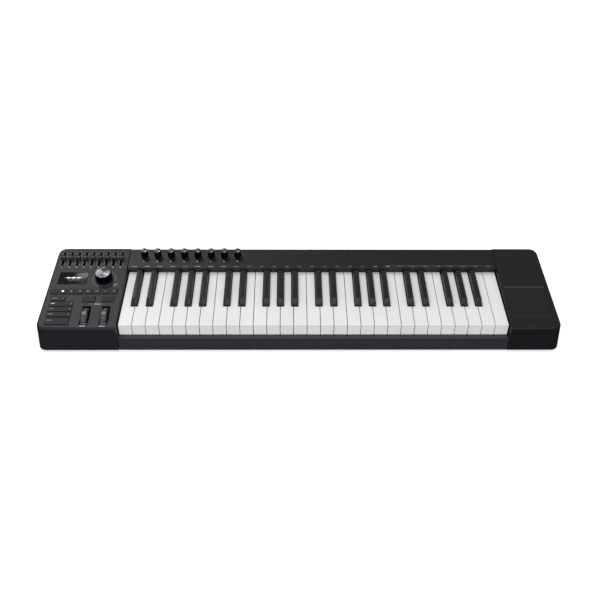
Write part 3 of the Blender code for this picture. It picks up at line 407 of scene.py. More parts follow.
def brushedMetal(name, look):
    # brushed or rolled metal: fine hair lines, long across the keyboard, stretch the reflections
    material, tree, coords, shader = startMaterial(name, {"Metallic": look["metallic"]})
    lay = addNode(tree, "ShaderNodeMapping",
                  {"Scale": (1 / look["lineLength"], 1 / look["line"], 1 / look["line"])},
                  {"Vector": coords})
    hair = addNode(tree, "ShaderNodeTexNoise", {"Scale": 1.0, "Detail": 2.0, "Roughness": 0.7},
                   {"Vector": lay.outputs["Vector"]})
    tone = addNode(tree, "ShaderNodeValToRGB", {"stops": [(0.3, look["dark"]), (0.7, look["light"])]},
                   {"Fac": hair.outputs["Fac"]})
    sheen = addNode(tree, "ShaderNodeMapRange", {"To Min": look["rough"][0], "To Max": look["rough"][1]},
                    {"Value": hair.outputs["Fac"]})
    score = addNode(tree, "ShaderNodeBump", {"Strength": 1.0, "Distance": look["depth"]},
                    {"Height": hair.outputs["Fac"]})
    tree.links.new(tone.outputs["Color"], shader.inputs["Base Color"])
    tree.links.new(sheen.outputs["Result"], shader.inputs["Roughness"])
    tree.links.new(score.outputs["Normal"], shader.inputs["Normal"])
    return material


stripMetal = brushedMetal("aluminium_black_anodised_brushed", {
    "dark": "#28282b", "light": "#2f2f32", "line": 0.00025, "lineLength": 0.09, "rough": (0.36, 0.5),
    "depth": 0.000006, "metallic": 0.85})
railMetal = brushedMetal("aluminium_black_anodised_satin", {
    "dark": "#29282d", "light": "#2f2e33", "line": 0.00025, "lineLength": 0.09, "rough": (0.45, 0.55),
    "depth": 0.000004, "metallic": 0.1})
chassisSteel = brushedMetal("steel_zinc_plated_rolled", {
    "dark": "#8f949a", "light": "#a7acb1", "line": 0.0012, "lineLength": 0.03, "rough": (0.3, 0.45),
    "depth": 0.00001, "metallic": 1.0})


def turnedMetal(name, look, centre):
    # metal turned on a lathe: a sine of the distance from the spindle scores rings, one for each ring width
    material, tree, coords, shader = startMaterial(name, {"Metallic": 1.0, "Anisotropic": look["fan"]})
    moved = addNode(tree, "ShaderNodeMapping", {"Location": tuple(-np.array(centre))}, {"Vector": coords})
    split = addNode(tree, "ShaderNodeSeparateXYZ", links={"Vector": moved.outputs["Vector"]})
    flat = addNode(tree, "ShaderNodeCombineXYZ", links={"X": split.outputs["X"], "Y": split.outputs["Y"]})
    radius = addNode(tree, "ShaderNodeVectorMath", {"operation": "LENGTH"}, {0: flat.outputs["Vector"]})
    turnsRound = addNode(tree, "ShaderNodeMath", {"operation": "MULTIPLY", 1: 2 * math.pi / look["ring"]},
                         {0: radius.outputs["Value"]})
    ringWave = addNode(tree, "ShaderNodeMath", {"operation": "SINE"}, {0: turnsRound.outputs[0]})
    stray = addNode(tree, "ShaderNodeTexNoise", {"Scale": 1 / look["patch"], "Detail": 2.0},
                    {"Vector": coords})
    tone = addNode(tree, "ShaderNodeValToRGB", {"stops": [(0.35, look["dark"]), (0.65, look["light"])]},
                   {"Fac": stray.outputs["Fac"]})
    score = addNode(tree, "ShaderNodeBump", {"Strength": 0.6, "Distance": look["depth"]},
                    {"Height": ringWave.outputs[0]})
    # the tangent runs round the spindle: the flat offset from it, turned a quarter
    round_ = addNode(tree, "ShaderNodeVectorMath", {"operation": "CROSS_PRODUCT", 0: (0.0, 0.0, 1.0)},
                     {1: flat.outputs["Vector"]})
    unit = addNode(tree, "ShaderNodeVectorMath", {"operation": "NORMALIZE"}, {0: round_.outputs["Vector"]})
    sheen = addNode(tree, "ShaderNodeMapRange", {"To Min": look["rough"][0], "To Max": look["rough"][1]},
                    {"Value": stray.outputs["Fac"]})
    tree.links.new(tone.outputs["Color"], shader.inputs["Base Color"])
    tree.links.new(sheen.outputs["Result"], shader.inputs["Roughness"])
    tree.links.new(unit.outputs["Vector"], shader.inputs["Tangent"])
    tree.links.new(score.outputs["Normal"], shader.inputs["Normal"])
    return material


def coverGlass(name, look):
    # black-backed cover glass: nearly a mirror, with only the faintest smears
    material, tree, coords, shader = startMaterial(name, {"IOR": 1.52, "Specular IOR Level": look["gloss"]})
    smear = addNode(tree, "ShaderNodeTexNoise", {"Scale": 1 / look["smear"], "Detail": 3.0},
                    {"Vector": coords})
    tone = addNode(tree, "ShaderNodeValToRGB", {"stops": [(0.3, look["dark"]), (0.7, look["light"])]},
                   {"Fac": smear.outputs["Fac"]})
    sheen = addNode(tree, "ShaderNodeMapRange", {"To Min": look["rough"][0], "To Max": look["rough"][1]},
                    {"Value": smear.outputs["Fac"]})
    tree.links.new(tone.outputs["Color"], shader.inputs["Base Color"])
    tree.links.new(sheen.outputs["Result"], shader.inputs["Roughness"])
    return material


displayGlass = coverGlass("glass_black_backed", {
    "dark": "#020203", "light": "#040405", "smear": 0.012, "rough": (0.04, 0.09), "gloss": 0.15})


def litPicture(name, look):
    # the lit picture in the display: each bar glows, a little unevenly
    material, tree, coords, shader = startMaterial(name,
                                                   {"Roughness": 0.3, "Emission Strength": look["glow"]})
    cells = addNode(tree, "ShaderNodeTexNoise", {"Scale": 1 / look["pitch"], "Detail": 1.0},
                    {"Vector": coords})
    tone = addNode(tree, "ShaderNodeValToRGB", {"stops": [(0.3, look["dark"]), (0.7, look["light"])]},
                   {"Fac": cells.outputs["Fac"]})
    tree.links.new(tone.outputs["Color"], shader.inputs["Base Color"])
    tree.links.new(tone.outputs["Color"], shader.inputs["Emission Color"])
    return material


pictureBright = litPicture("oled_pixels_bright",
                          {"dark": "#d8dade", "light": "#f2f4f8", "pitch": 0.0006, "glow": 0.8})
pictureDim = litPicture("oled_pixels_dim",
                       {"dark": "#6a6c70", "light": "#808286", "pitch": 0.0006, "glow": 0.4})
print("materials:", len(bpy.data.materials))


# ---- keys
keyPlan = {
    "whites": "cdefgab",
    "blackAfter": {"c": "c_sharp", "d": "d_sharp", "f": "f_sharp", "g": "g_sharp", "a": "a_sharp"},
    "octaves": 4, "singleOctave": 2, "outer": "cegb", "inner": "dfa",
}
whiteKey = {
    "gap": 0.001, "slot": 0.0131, "slotGap": 0.001, "wall": 0.002, "bodyHeight": 0.012, "skirt": 0.018,
    "bodyBack": 0.036, "edge": 0.0006, "arc": 4, "lip": 0.0022, "lipStep": 0.0004, "bevel": 0.0003,
}
blackKey = {
    "width": 0.011, "raisedBack": 0.045, "bodyBack": 0.036, "nose": 0.0046, "slope": 0.0098,
    "topInset": 0.0008, "corner": 0.0011, "leastCorner": 0.0003, "edge": 0.0008, "rise": 0.010,
    "backInset": 0.0003, "bendRoom": 0.0006, "bendSoft": 0.0004, "bodyStart": 0.03, "bodyDrop": 0.0006,
}
armShape = {"inset": 0.0015, "overlap": 0.002, "barDepth": 0.008, "thickness": 0.0035}

whiteTop = highOf("white_key_c")[2]
whiteFront = lowOf("white_key_c")[1]
whiteBottom = lowOf("white_key_c")[2]
keyPivotBack = highOf("white_key_c")[1]
whitePitch = (lowOf("white_key_top_c")[0] - lowOf("white_key_c")[0]) / 14
whitesBelow = len(keyPlan["whites"]) * keyPlan["singleOctave"]   # white keys left of the single octave
firstWhite = lowOf("white_key_c")[0] - whiteKey["gap"] / 2 - whitesBelow * whitePitch


def blackMiddle(octave, name):
    octavesAway = octave - keyPlan["singleOctave"]
    return middleOf("black_key_" + name)[0] + octavesAway * len(keyPlan["whites"]) * whitePitch


def whiteSpan(index, last=False):
    # left and right of a white key, at its front and in its narrow back part
    octave, place = divmod(index, len(keyPlan["whites"]))
    left = firstWhite + index * whitePitch + whiteKey["gap"] / 2
    right = left + whitePitch - whiteKey["gap"]
    before = keyPlan["blackAfter"].get(keyPlan["whites"][place - 1]) if place else None
    after = None if last else keyPlan["blackAfter"].get(keyPlan["whites"][place])
    backLeft = blackMiddle(octave, before) + whiteKey["slot"] / 2 if before else left
    backRight = blackMiddle(octave, after) - whiteKey["slot"] / 2 if after else right
    return left, right, backLeft, backRight


def mitreInward(outline):
    # how far a corner moves per unit of offset: both edges' normals added, over one plus their dot product
    edge = np.roll(outline, -1, 0) - outline
    normal = np.stack([-edge[:, 1], edge[:, 0]], -1) / np.linalg.norm(edge, axis=1)[:, None]
    before = np.roll(normal, 1, 0)
    return (normal + before) / (1 + (normal * before).sum(1))[:, None]


def whiteKeyShape(span):
    # the plan carried up a section: hollow inside, wall, recess under the lip, rounded edge, flat top
    left, right, backLeft, backRight = span
    look = whiteKey
    back = keyPivotBack - look["bodyBack"]
    slotFront = lowOf("black_key_c_sharp")[1] - look["slotGap"]
    skirt = whiteFront + look["skirt"]
    outline = [(left, whiteFront), (right, whiteFront), (right, skirt), (right, skirt + look["wall"])]
    if backRight < right:
        outline += [(right, slotFront), (backRight, slotFront)]
    outline += [(backRight, back), (backLeft, back)]
    if backLeft > left:
        outline += [(backLeft, slotFront), (left, slotFront)]
    outline += [(left, skirt + look["wall"]), (left, skirt)]
    outline = np.array(outline)
    inward = mitreInward(outline)
    atFront = outline[:, 1] < whiteFront + look["gap"]
    bottom = np.where(outline[:, 1] <= skirt, whiteBottom, whiteTop - look["bodyHeight"])
    turn = np.linspace(0, math.pi / 2, look["arc"] + 1)
    # each level: inset, height above the bottom rim or below the top, and how far the front stands back
    insets = np.concatenate([[look["wall"], look["wall"], 0, 0, 0], look["edge"] * (1 - np.cos(turn))])
    drops = np.concatenate([[look["wall"], np.nan, np.nan, look["lip"], look["lip"] - look["lipStep"]],
                            look["edge"] * (1 - np.sin(turn))])
    recess = np.zeros(len(insets))
    recess[:4] = look["lipStep"]
    height = np.where(np.isnan(drops)[:, None], bottom[None], whiteTop - np.nan_to_num(drops)[:, None])
    plan = outline[None] + inward[None] * insets[:, None, None]
    plan[:, :, 1] += recess[:, None] * atFront[None]
    rings = np.concatenate([plan, height[..., None]], -1)
    return loftShape(rings)


def roundedPlan(halfWidth, front, back, corner, steps=4):
    # a rounded rectangle for each level: levels down, points round, counted from the front right
    quarter = np.linspace(0, math.pi / 2, steps)
    turn = np.concatenate([quarter - math.pi / 2, quarter, quarter + math.pi / 2, quarter + math.pi])
    side = np.repeat([1, 1, -1, -1], steps)
    isBack = np.repeat([0, 1, 1, 0], steps)
    x = side * (halfWidth - corner)[:, None] + corner[:, None] * np.cos(turn)
    near = (front + corner)[:, None] * (1 - isBack) + (back - corner)[:, None] * isBack
    return x, near + corner[:, None] * np.sin(turn)


def blackKeyShape(x):
    # level by level: upright nose, long front slope, sides that close in, a rounded edge to the flat top
    look = blackKey
    front = lowOf("black_key_c_sharp")[1]
    top, bottom = whiteTop + look["rise"], lowOf("black_keys_octave_1")[2] + whiteKey["wall"]
    back = keyPivotBack - look["raisedBack"]
    slopeStart, slopeEnd = whiteTop + look["nose"], top - look["edge"]
    room = look["bendRoom"]
    level = np.concatenate([[bottom, whiteTop], np.linspace(slopeStart - room, slopeStart + room, 5),
                            np.linspace(slopeStart + 2 * room, slopeEnd, 5)])
    turn = np.linspace(0, math.pi / 2, 6)[1:]
    level = np.concatenate([level, slopeEnd + look["edge"] * np.sin(turn)])
    edge = np.concatenate([np.zeros(12), look["edge"] * (1 - np.cos(turn))])
    rise = np.clip(level - whiteTop, 0, None) / look["rise"]
    # a soft corner between nose and slope: half the sum of the height and its length taken with bendSoft
    past = level - slopeStart
    soft = 0.5 * (past + np.sqrt(past ** 2 + look["bendSoft"] ** 2))
    slide = soft * look["slope"] / (look["rise"] - look["nose"])
    halfWidth = look["width"] / 2 - look["topInset"] * rise - edge
    corner = np.maximum(look["corner"] - edge * 0.6, look["leastCorner"])
    nearest, furthest = front + slide + edge * 0.5, np.full(len(level), back) - edge
    planX, planY = roundedPlan(halfWidth, nearest, furthest, corner)
    rings = np.stack([x + planX, planY, np.broadcast_to(level[:, None], planX.shape)], -1)
    half = look["width"] / 2 - look["backInset"]
    body = slabShapes([x - half, back - look["bodyStart"], bottom - whiteKey["wall"]],
                      [x + half, keyPivotBack - look["bodyBack"],
                       whiteTop - look["bodyDrop"]],
                      lambda points: points)
    return [loftShape(rings), body]


def armShapes(spans, lowZ):
    # one arm into each key and a pivot bar across them
    look = armShape
    front, barFront = keyPivotBack - whiteKey["bodyBack"] - look["overlap"], keyPivotBack - look["barDepth"]
    low = [[left + look["inset"], front, lowZ] for left, right in spans]
    high = [[right - look["inset"], barFront + 0.001, lowZ + look["thickness"]] for left, right in spans]
    low.append([spans[0][0] + look["inset"], barFront, lowZ])
    high.append([spans[-1][1] - look["inset"], keyPivotBack, lowZ + look["thickness"]])
    return slabShapes(low, high, lambda points: points)


def pivotHeight(node):
    return joints[node + "_press"]["pos_m"][2] - armShape["thickness"] / 2


def makeWhiteKeys(node, indexes, last=False):
    spans = [whiteSpan(index, last) for index in indexes]
    shapes = [whiteKeyShape(span) for span in spans]
    shapes.append(armShapes([(span[2], span[3]) for span in spans], pivotHeight(node)))
    makePiece(node + "_moulding", shapes, [keyWhite], node, [node],
              bevel=whiteKey["bevel"])


def makeBlackKeys(node, octave, names):
    middles = [blackMiddle(octave, name) for name in names]
    shapes = [shape for x in middles for shape in blackKeyShape(x)]
    half = blackKey["width"] / 2
    shapes.append(armShapes([(x - half, x + half) for x in middles], pivotHeight(node)))
    makePiece(node + "_moulding", shapes, [plastic["abs_black_key_matt"]], node,
              [node], smooth=30.0)


def makeKeyboard():
    count = len(keyPlan["whites"])
    sharps = list(keyPlan["blackAfter"].values())
    for octave in range(keyPlan["octaves"]):
        first = octave * count
        if octave == keyPlan["singleOctave"]:
            for place, name in enumerate(keyPlan["whites"]):
                makeWhiteKeys("white_key_" + name, [first + place])
            for name in sharps:
                makeBlackKeys("black_key_" + name, octave, [name])
            continue
        tag = f"_octave_{octave + 1}"
        for group in ("outer", "inner"):
            makeWhiteKeys(f"{group}_whites{tag}",
                          [first + keyPlan["whites"].index(name) for name in keyPlan[group]])
        makeBlackKeys("black_keys" + tag, octave, sharps)
    makeWhiteKeys("white_key_top_c", [keyPlan["octaves"] * count], True)


makeKeyboard()
print("keys made")


# ---- turned and moulded controls
def turnedShape(profile, origin, wobble=None, steps=96, finish=0):
    # (radius, height) pairs turned about the panel's upright at origin; wobble scales the radius
    profile = np.asarray(profile, float)
    turn = np.linspace(0, 2 * math.pi, steps, endpoint=False)[None, :]
    radius, height = profile[:, 0:1], profile[:, 1:2]
    if wobble is not None:
        radius = radius * wobble(turn, height)
    local = np.stack([radius * np.cos(turn), radius * np.sin(turn),
                      np.broadcast_to(height, radius.shape) + 0 * turn], -1)
    return loftShape(fromPanel(origin, local), finish)


def arcPoints(centreRadius, centreHeight, size, start, end, steps=5):
    # (radius, height) pairs round a quarter or so of a small circle
    turn = np.radians(np.linspace(start, end, steps))
    return np.stack([centreRadius + size * np.cos(turn), centreHeight + size * np.sin(turn)], -1)


encoderLook = {
    "radius": 0.0155, "height": 0.016, "bore": 0.0034, "boreDepth": 0.0112, "foot": 0.0008, "draft": 0.93,
    "flutes": 72, "flute": 0.006, "rim": 0.0006, "step": 0.0011, "dish": 0.0007, "fluteTop": 0.0132,
}
rearKnobLook = {
    "radius": 0.0068, "height": 0.0126, "bore": 0.0024, "boreDepth": 0.0088, "foot": 0.0006, "draft": 0.93,
    "flutes": 24, "flute": 0.02, "rim": 0.0004, "step": 0.0006, "dish": 0.0003, "fluteTop": 0.0104,
}
turnedTop = {"dark": "#59595d", "light": "#606065", "ring": 0.00035, "depth": 0.000004, "patch": 0.006,
             "rough": (0.26, 0.3), "fan": 0.97}
turnedSide = {"dark": "#1d1d20", "light": "#26262a", "ring": 0.0004, "depth": 0.000004, "patch": 0.002,
              "rough": (0.3, 0.4), "fan": 0.4}


def knobShapes(look, origin):
    # fluted skirt, a bright rounded rim, and a shallow dish turned into the top; bored from below
    top = look["height"]
    outer, rim = look["radius"] * look["draft"], look["rim"]
    flute = lambda turn, height: 1 - look["flute"] * np.cos(look["flutes"] * turn) ** 2 * (
        (height > look["foot"] + 0.0005) & (height < look["fluteTop"]))
    skirt = [(look["bore"], look["boreDepth"]), (look["bore"], look["foot"]),
             (look["radius"] - rim, look["foot"])]
    skirt += list(arcPoints(look["radius"] - rim, look["foot"] + rim, rim, -90, 0, 4))
    rise = np.linspace(look["foot"] + 2 * rim, look["fluteTop"], 8)
    share = (rise - look["foot"]) / (top - look["foot"])
    skirt += list(zip(look["radius"] - (look["radius"] - outer) * share, rise))
    skirt += [(outer + rim * 0.3, look["fluteTop"] + rim),
              (outer - rim * 0.2, look["fluteTop"] + 1.5 * rim)]
    shoulder = look["fluteTop"] + 1.5 * rim
    crown = [(outer - rim * 0.2, shoulder)] + list(arcPoints(outer - rim * 1.2, top - rim, rim, 0, 90, 5))
    crown += [(outer - look["step"] - rim, top), (outer - look["step"] - 1.6 * rim, top - look["dish"])]
    inside = outer - look["step"] - 1.6 * rim
    crown += [(inside * share, top - look["dish"] * (1 - 0.35 * (1 - share) ** 2))
              for share in (0.75, 0.5, 0.25, 0.05)]
    steps = look["flutes"] * 4
    side = turnedShape(skirt, origin, flute, steps)
    face = turnedShape(crown, origin, None, 96, 1)
    return [side, (face[0], face[1], 1)]


def knobOrigin(joint):
    return np.array(joints[joint]["pos_m"])


def makeKnobs():
    centre = knobOrigin("main_encoder_turn")
    finishes = [turnedMetal("aluminium_black_anodised_fluted", turnedSide, centre),
                turnedMetal("aluminium_bright_turned_encoder", turnedTop, centre)]
    makePiece("main_encoder_turned", knobShapes(encoderLook, centre), finishes, "main_encoder_knob",
              ["main_encoder_knob"], smooth=34.0)
    for number in range(1, 9):
        centre = knobOrigin(f"knob_{number}_turn")
        finishes = [turnedMetal(f"aluminium_black_anodised_knob_{number}", turnedSide, centre),
                    turnedMetal(f"aluminium_bright_turned_knob_{number}", turnedTop, centre)]
        makePiece(f"knob_{number}_turned", knobShapes(rearKnobLook, centre), finishes, f"knob_{number}",
                  [f"knob_{number}"], smooth=34.0)


makeKnobs()

faderLook = {
    "halfWidth": 0.0045, "halfDepth": 0.0042, "height": 0.0074, "dip": 0.0011, "foot": 0.0006, "ridges": 5,
    "ridge": 0.00022, "endRound": 0.0006, "line": 0.0003, "stem": (0.0018, 0.005), "points": 49,
    "flankShare": 0.42, "crest": 0.0026, "grip": 0.0022, "endTaper": 0.12, "lineShare": 0.86,
    "lineSunk": 0.0003, "lineProud": 0.0001, "stemGap": 0.0004, "stemTop": 0.002,
}


def faderCapShape(origin):
    # a side view carried across: steep ridged flanks up to two crests, a dished grip between them
    look = faderLook
    t = np.linspace(-1, 1, look["points"])
    inner, crest = 1 - look["flankShare"], look["crest"]
    flank = np.clip((1 - np.abs(t)) / look["flankShare"], 0, 1)
    onFlank = np.sign(t) * (look["halfDepth"] - (look["halfDepth"] - crest) * flank)
    along = np.where(np.abs(t) > inner, onFlank, t / inner * crest)
    rise = look["foot"] + (look["height"] - look["foot"]) * np.sin(flank * math.pi / 2) ** 0.8
    dish = look["dip"] * np.clip(1 - (along / look["grip"]) ** 2, 0, None)
    rib = look["ridge"] * np.cos(flank * math.pi * look["ridges"]) * (flank < 0.95) * np.sign(t)
    side = np.stack([along + rib, rise - dish], -1)
    profile = np.concatenate([side, [[look["halfDepth"] * 0.9, look["foot"]],
                                     [-look["halfDepth"] * 0.9, look["foot"]]]])
    middle = profile.mean(0)
    turn = np.linspace(0, math.pi / 2, 4)
    reach = np.concatenate([-look["halfWidth"] + look["endRound"] * (1 - np.sin(turn)), [0.0],
                            look["halfWidth"] - look["endRound"] * (1 - np.sin(turn[::-1]))])
    taper = 1 - look["endTaper"] * (1 - np.sin(turn))
    shrink = np.concatenate([taper, [1.0], taper[::-1]])
    plan = middle + (profile - middle)[None] * shrink[:, None, None]
    plan[..., 1] = np.where(profile[None, :, 1] <= look["foot"] + 1e-6, look["foot"], plan[..., 1])
    rings = np.concatenate([np.broadcast_to(reach[:, None, None], plan.shape[:2] + (1,)), plan], -1)
    return loftShape(fromPanel(origin, rings))


def makeFaders():
    look = faderLook
    crown, width = look["height"] - look["dip"], look["halfWidth"] * look["lineShare"]
    for number in range(1, 10):
        node = f"fader_cap_{number}"
        centre = middleOf(node)
        origin = onPanel(centre[0], middleOf("fader_cap_1")[1])
        stemLow = lowOf(node)[2] - origin[2]
        half = np.array(look["stem"]) / 2
        stem = slabShapes([-half[0], -half[1], stemLow + look["stemGap"]],
                          [half[0], half[1], look["stemTop"]],
                          lambda points: fromPanel(origin, points))
        mark = slabShapes([-width, -look["line"], crown - look["lineSunk"]],
                          [width, look["line"], crown + look["lineProud"]],
                          lambda points: fromPanel(origin, points), 1)
        makePiece(node + "_moulding", [faderCapShape(origin), stem, mark],
                  [plastic["abs_cap_satin"], plastic["paint_grey_screen_print"]], node,
                  [node], smooth=40.0)


makeFaders()
print("knobs and faders made")

wheelLook = {
    "radius": 0.026, "width": 0.0125, "stub": 0.0025, "shoulder": 0.0016, "notchRound": 0.012,
    "notchDeep": 0.0026, "notchTurn": 19.0, "notchSquash": 1.1, "ribFrom": -43.0, "ribTo": 7.0,
    "ribPitch": 5.6, "rib": 0.0007, "barTurn": -48.5, "barHigh": 0.0004, "barHalf": 1.6, "inset": 0.0017,
    "rimDrop": 0.0003, "sideFade": 0.0006, "steps": 480,
}


def wheelShape(joint, node):
    # radius over turn and width: rounded shoulders, dished thumb notch, a run of cross ribs, a raised bar
    look = wheelLook
    origin = np.array(joints[joint]["pos_m"])
    half = look["width"] / 2
    turn = np.linspace(0, 2 * math.pi, look["steps"], endpoint=False)[None, :]
    degrees = (np.degrees(turn) + 180) % 360 - 180
    edge = np.linspace(0, math.pi / 2, 6)
    sideX = half - look["shoulder"] * (1 - np.sin(edge))
    fallX = look["shoulder"] * (1 - np.cos(edge))
    x = np.concatenate([-sideX[::-1], np.linspace(-sideX[0], sideX[0], 13)[1:-1], sideX])[:, None]
    fall = np.concatenate([fallX[::-1], np.zeros(11), fallX])[:, None]
    arcLength = look["radius"] * np.radians(degrees - look["notchTurn"])
    room = look["notchRound"] ** 2 - arcLength ** 2 - (look["notchSquash"] * x) ** 2
    notch = np.clip(np.sqrt(np.clip(room, 0, None)) - (look["notchRound"] - look["notchDeep"]), 0, None)
    ribbed = np.clip((degrees - look["ribFrom"]) * 2, 0, 1) * np.clip((look["ribTo"] - degrees) * 2, 0, 1)
    inside = np.clip((half - look["inset"] - np.abs(x)) / look["sideFade"], 0, 1)
    wave = 0.5 - 0.5 * np.cos(2 * math.pi * (degrees - look["ribFrom"]) / look["ribPitch"])
    ribs = look["rib"] * np.clip(wave * 1.8 - 0.5, 0, 1) * ribbed * inside
    onBar = np.clip(look["barHalf"] + 0.5 - np.abs(degrees - look["barTurn"]), 0, 1)
    bar = look["barHigh"] * onBar * inside
    radius = look["radius"] - look["rimDrop"] - fall - notch - ribs + bar
    reach = abs(lowOf(node)[0] - origin[0])
    hub = np.array([[-reach, look["stub"]], [-half, look["stub"]], [-half, look["radius"] * 0.5]])
    flat = (len(hub), look["steps"])
    rows = [np.broadcast_to(hub[:, 1:2], flat), radius, np.broadcast_to(hub[::-1, 1:2], flat)]
    width = np.concatenate([hub[:, 0:1], x, -hub[::-1, 0:1]])
    radius = np.concatenate(rows)
    points = (origin + np.broadcast_to(width, radius.shape)[..., None] * across
              + (radius * np.sin(turn))[..., None] * panelBack
              + (radius * np.cos(turn))[..., None] * panelUp)
    points, blocks, finish = loftShape(points)
    return points, [block[:, ::-1] for block in blocks], finish


def wheelBars(joint, turns, halfWidth, halfLength, lift, high):
    # painted highlights: raised grey bars across the rim, each on the tangent at its turn, laid where the
    # ribs, the raised bar and the thumb notch catch the light
    origin = np.array(joints[joint]["pos_m"])
    turns = np.radians(np.atleast_1d(turns))
    low = np.tile([-halfWidth, -halfLength, lift], (len(turns), 1))
    tall = np.tile([halfWidth, halfLength, lift + high], (len(turns), 1))

    def place(points):
        turn = np.repeat(turns, 8)
        out, along = points[:, 2] + wheelLook["radius"], points[:, 1]
        back = out * np.sin(turn) + along * np.cos(turn)
        up = out * np.cos(turn) - along * np.sin(turn)
        return origin + points[:, 0:1] * across + back[:, None] * panelBack + up[:, None] * panelUp
    return slabShapes(low, tall, place, 1)


# the wheels' grey bars: painted highlights over the ribs and the raised bar, and a painted reflection in
# the thumb notch
wheelHighlightMark = {"rib": (0.0031, 0.00055), "bar": (0.0046, 0.0006), "lens": (0.0050, 0.0021),
             "lift": -0.0008, "high": 0.0009, "lensLift": -0.0034, "lensHigh": 0.0009}


def makeWheels():
    look, mark = wheelLook, wheelHighlightMark
    for node in ("pitch_wheel", "mod_wheel"):
        joint = node + "_turn"
        ribs = np.arange(look["ribFrom"] + look["ribPitch"] / 2, look["ribTo"], look["ribPitch"])
        shapes = [wheelShape(joint, node), wheelBars(joint, ribs, *mark["rib"], mark["lift"], mark["high"]),
                  wheelBars(joint, look["barTurn"], *mark["bar"], mark["lift"], mark["high"]),
                  wheelBars(joint, look["notchTurn"], *mark["lens"], mark["lensLift"], mark["lensHigh"])]
        makePiece(node + "_moulding", shapes, [plastic["rubber_black_wheel"], plastic["rubber_grey_inlay"]],
                  node, [node], smooth=38.0)


makeWheels()
print("wheels made")


# ---- printing, icons and the lit display
inkWhite, inkGrey = plastic["paint_white_screen_print"], plastic["paint_grey_screen_print"]
inkLook = {"deep": 0.00002, "proud": 0.00005, "dotShare": 1.55, "stroke": 0.00012}


def bars(centres, sizes, lift=0.0, turn=0.0, finish=0):
    # flat printed bars on the panel: centres (x, y), sizes (width, depth), turned by degrees in the panel
    centres, sizes = np.atleast_2d(centres).astype(float), np.atleast_2d(sizes).astype(float)
    sizes = np.broadcast_to(sizes, centres.shape)
    turn = np.radians(np.broadcast_to(turn, len(centres)))
    origin = np.repeat(onPanel(centres[:, 0], centres[:, 1], lift), 8, 0)
    low = np.concatenate([-sizes / 2, np.full((len(sizes), 1), -inkLook["deep"])], 1)
    high = np.concatenate([sizes / 2, np.full((len(sizes), 1), inkLook["proud"])], 1)

    def place(points):
        angle = np.repeat(turn, 8)
        x = points[:, 0] * np.cos(angle) - points[:, 1] * np.sin(angle)
        y = points[:, 0] * np.sin(angle) + points[:, 1] * np.cos(angle)
        return fromPanel(origin, np.stack([x, y, points[:, 2]], -1))
    return slabShapes(low, high, place, finish)


def arcBars(centre, radius, start, end, step, thick, lift=0.0, finish=0):
    # a printed arc as short bars laid end to end round a centre
    angle = np.arange(start, end + 0.01, step)
    length = radius * math.radians(step) * 1.02
    spots = np.array(centre) + radius * np.stack([np.cos(np.radians(angle)), np.sin(np.radians(angle))], -1)
    return bars(spots, (length, thick), lift, angle + 90, finish)


def dotShape(centre, radius, lift=0.0, finish=0):
    # a printed dot: four squares on one middle, each turned a quarter of the way to the next
    side = radius * inkLook["dotShare"]
    return bars(np.tile(centre, (4, 1)), (side, side), lift, np.array([0.0, 22.5, 45.0, 67.5]), finish)


def prismShape(outline, centre, lift=0.0, finish=0):
    # a printed patch of any outline (x, y) about a centre
    ring = np.asarray(outline, float)
    levels = np.array([-inkLook["deep"], inkLook["proud"]])
    local = np.concatenate([np.broadcast_to(ring, (2, *ring.shape)),
                            np.broadcast_to(levels[:, None, None], (2, len(ring), 1))], -1)
    return loftShape(fromPanel(onPanel(centre[0], centre[1], lift), local), finish)


def numeralShape(text, size, centre, lift=0.0, finish=0):
    # a plain numeral in the built-in face, turned to a mesh and laid on the panel
    curve = bpy.data.curves.new("numeral", "FONT")
    curve.body, curve.size, curve.align_x, curve.align_y = text, size, "CENTER", "CENTER"
    curve.extrude, curve.offset, curve.resolution_u = inkLook["proud"] / 2, inkLook["stroke"], 3
    holder = bpy.data.objects.new("numeral", curve)
    mesh = bpy.data.meshes.new_from_object(holder)
    points = np.zeros(len(mesh.vertices) * 3)
    mesh.vertices.foreach_get("co", points)
    faces = [np.array([list(face.vertices)]) for face in mesh.polygons]
    bpy.data.objects.remove(holder)
    bpy.data.curves.remove(curve)
    bpy.data.meshes.remove(mesh)
    return fromPanel(onPanel(centre[0], centre[1], lift),
                     points.reshape(-1, 3) + [0, 0, inkLook["proud"] / 2]), faces, finish


panelPrint = {
    "tickOffset": 0.0040, "tickCount": 11, "tickSpan": 0.034, "tick": (0.0014, 0.0003), "numberY": 0.0513,
    "number": 0.0044, "longTick": 1.35, "ring": 0.0208, "ringDot": 0.0009, "ringThick": 0.0004,
    "ringDots": (0, 180, 270), "ringArcs": ((-82, -8), (8, 60), (188, 262), (120, 172)),
    "iconAt": (-0.3325, 0.0062), "iconBars": (-0.0022, 0.0, 0.0022), "iconBar": (0.0008, 0.0052),
    "iconDown": 0.0005, "iconTurn": -35, "baseDown": 0.0034, "base": (0.0086, 0.0006),
    "octaveLineY": -0.0453, "octaveHalf": 0.0125, "wheelLabelY": -0.0990, "wheelLabelShift": -0.0008,
}


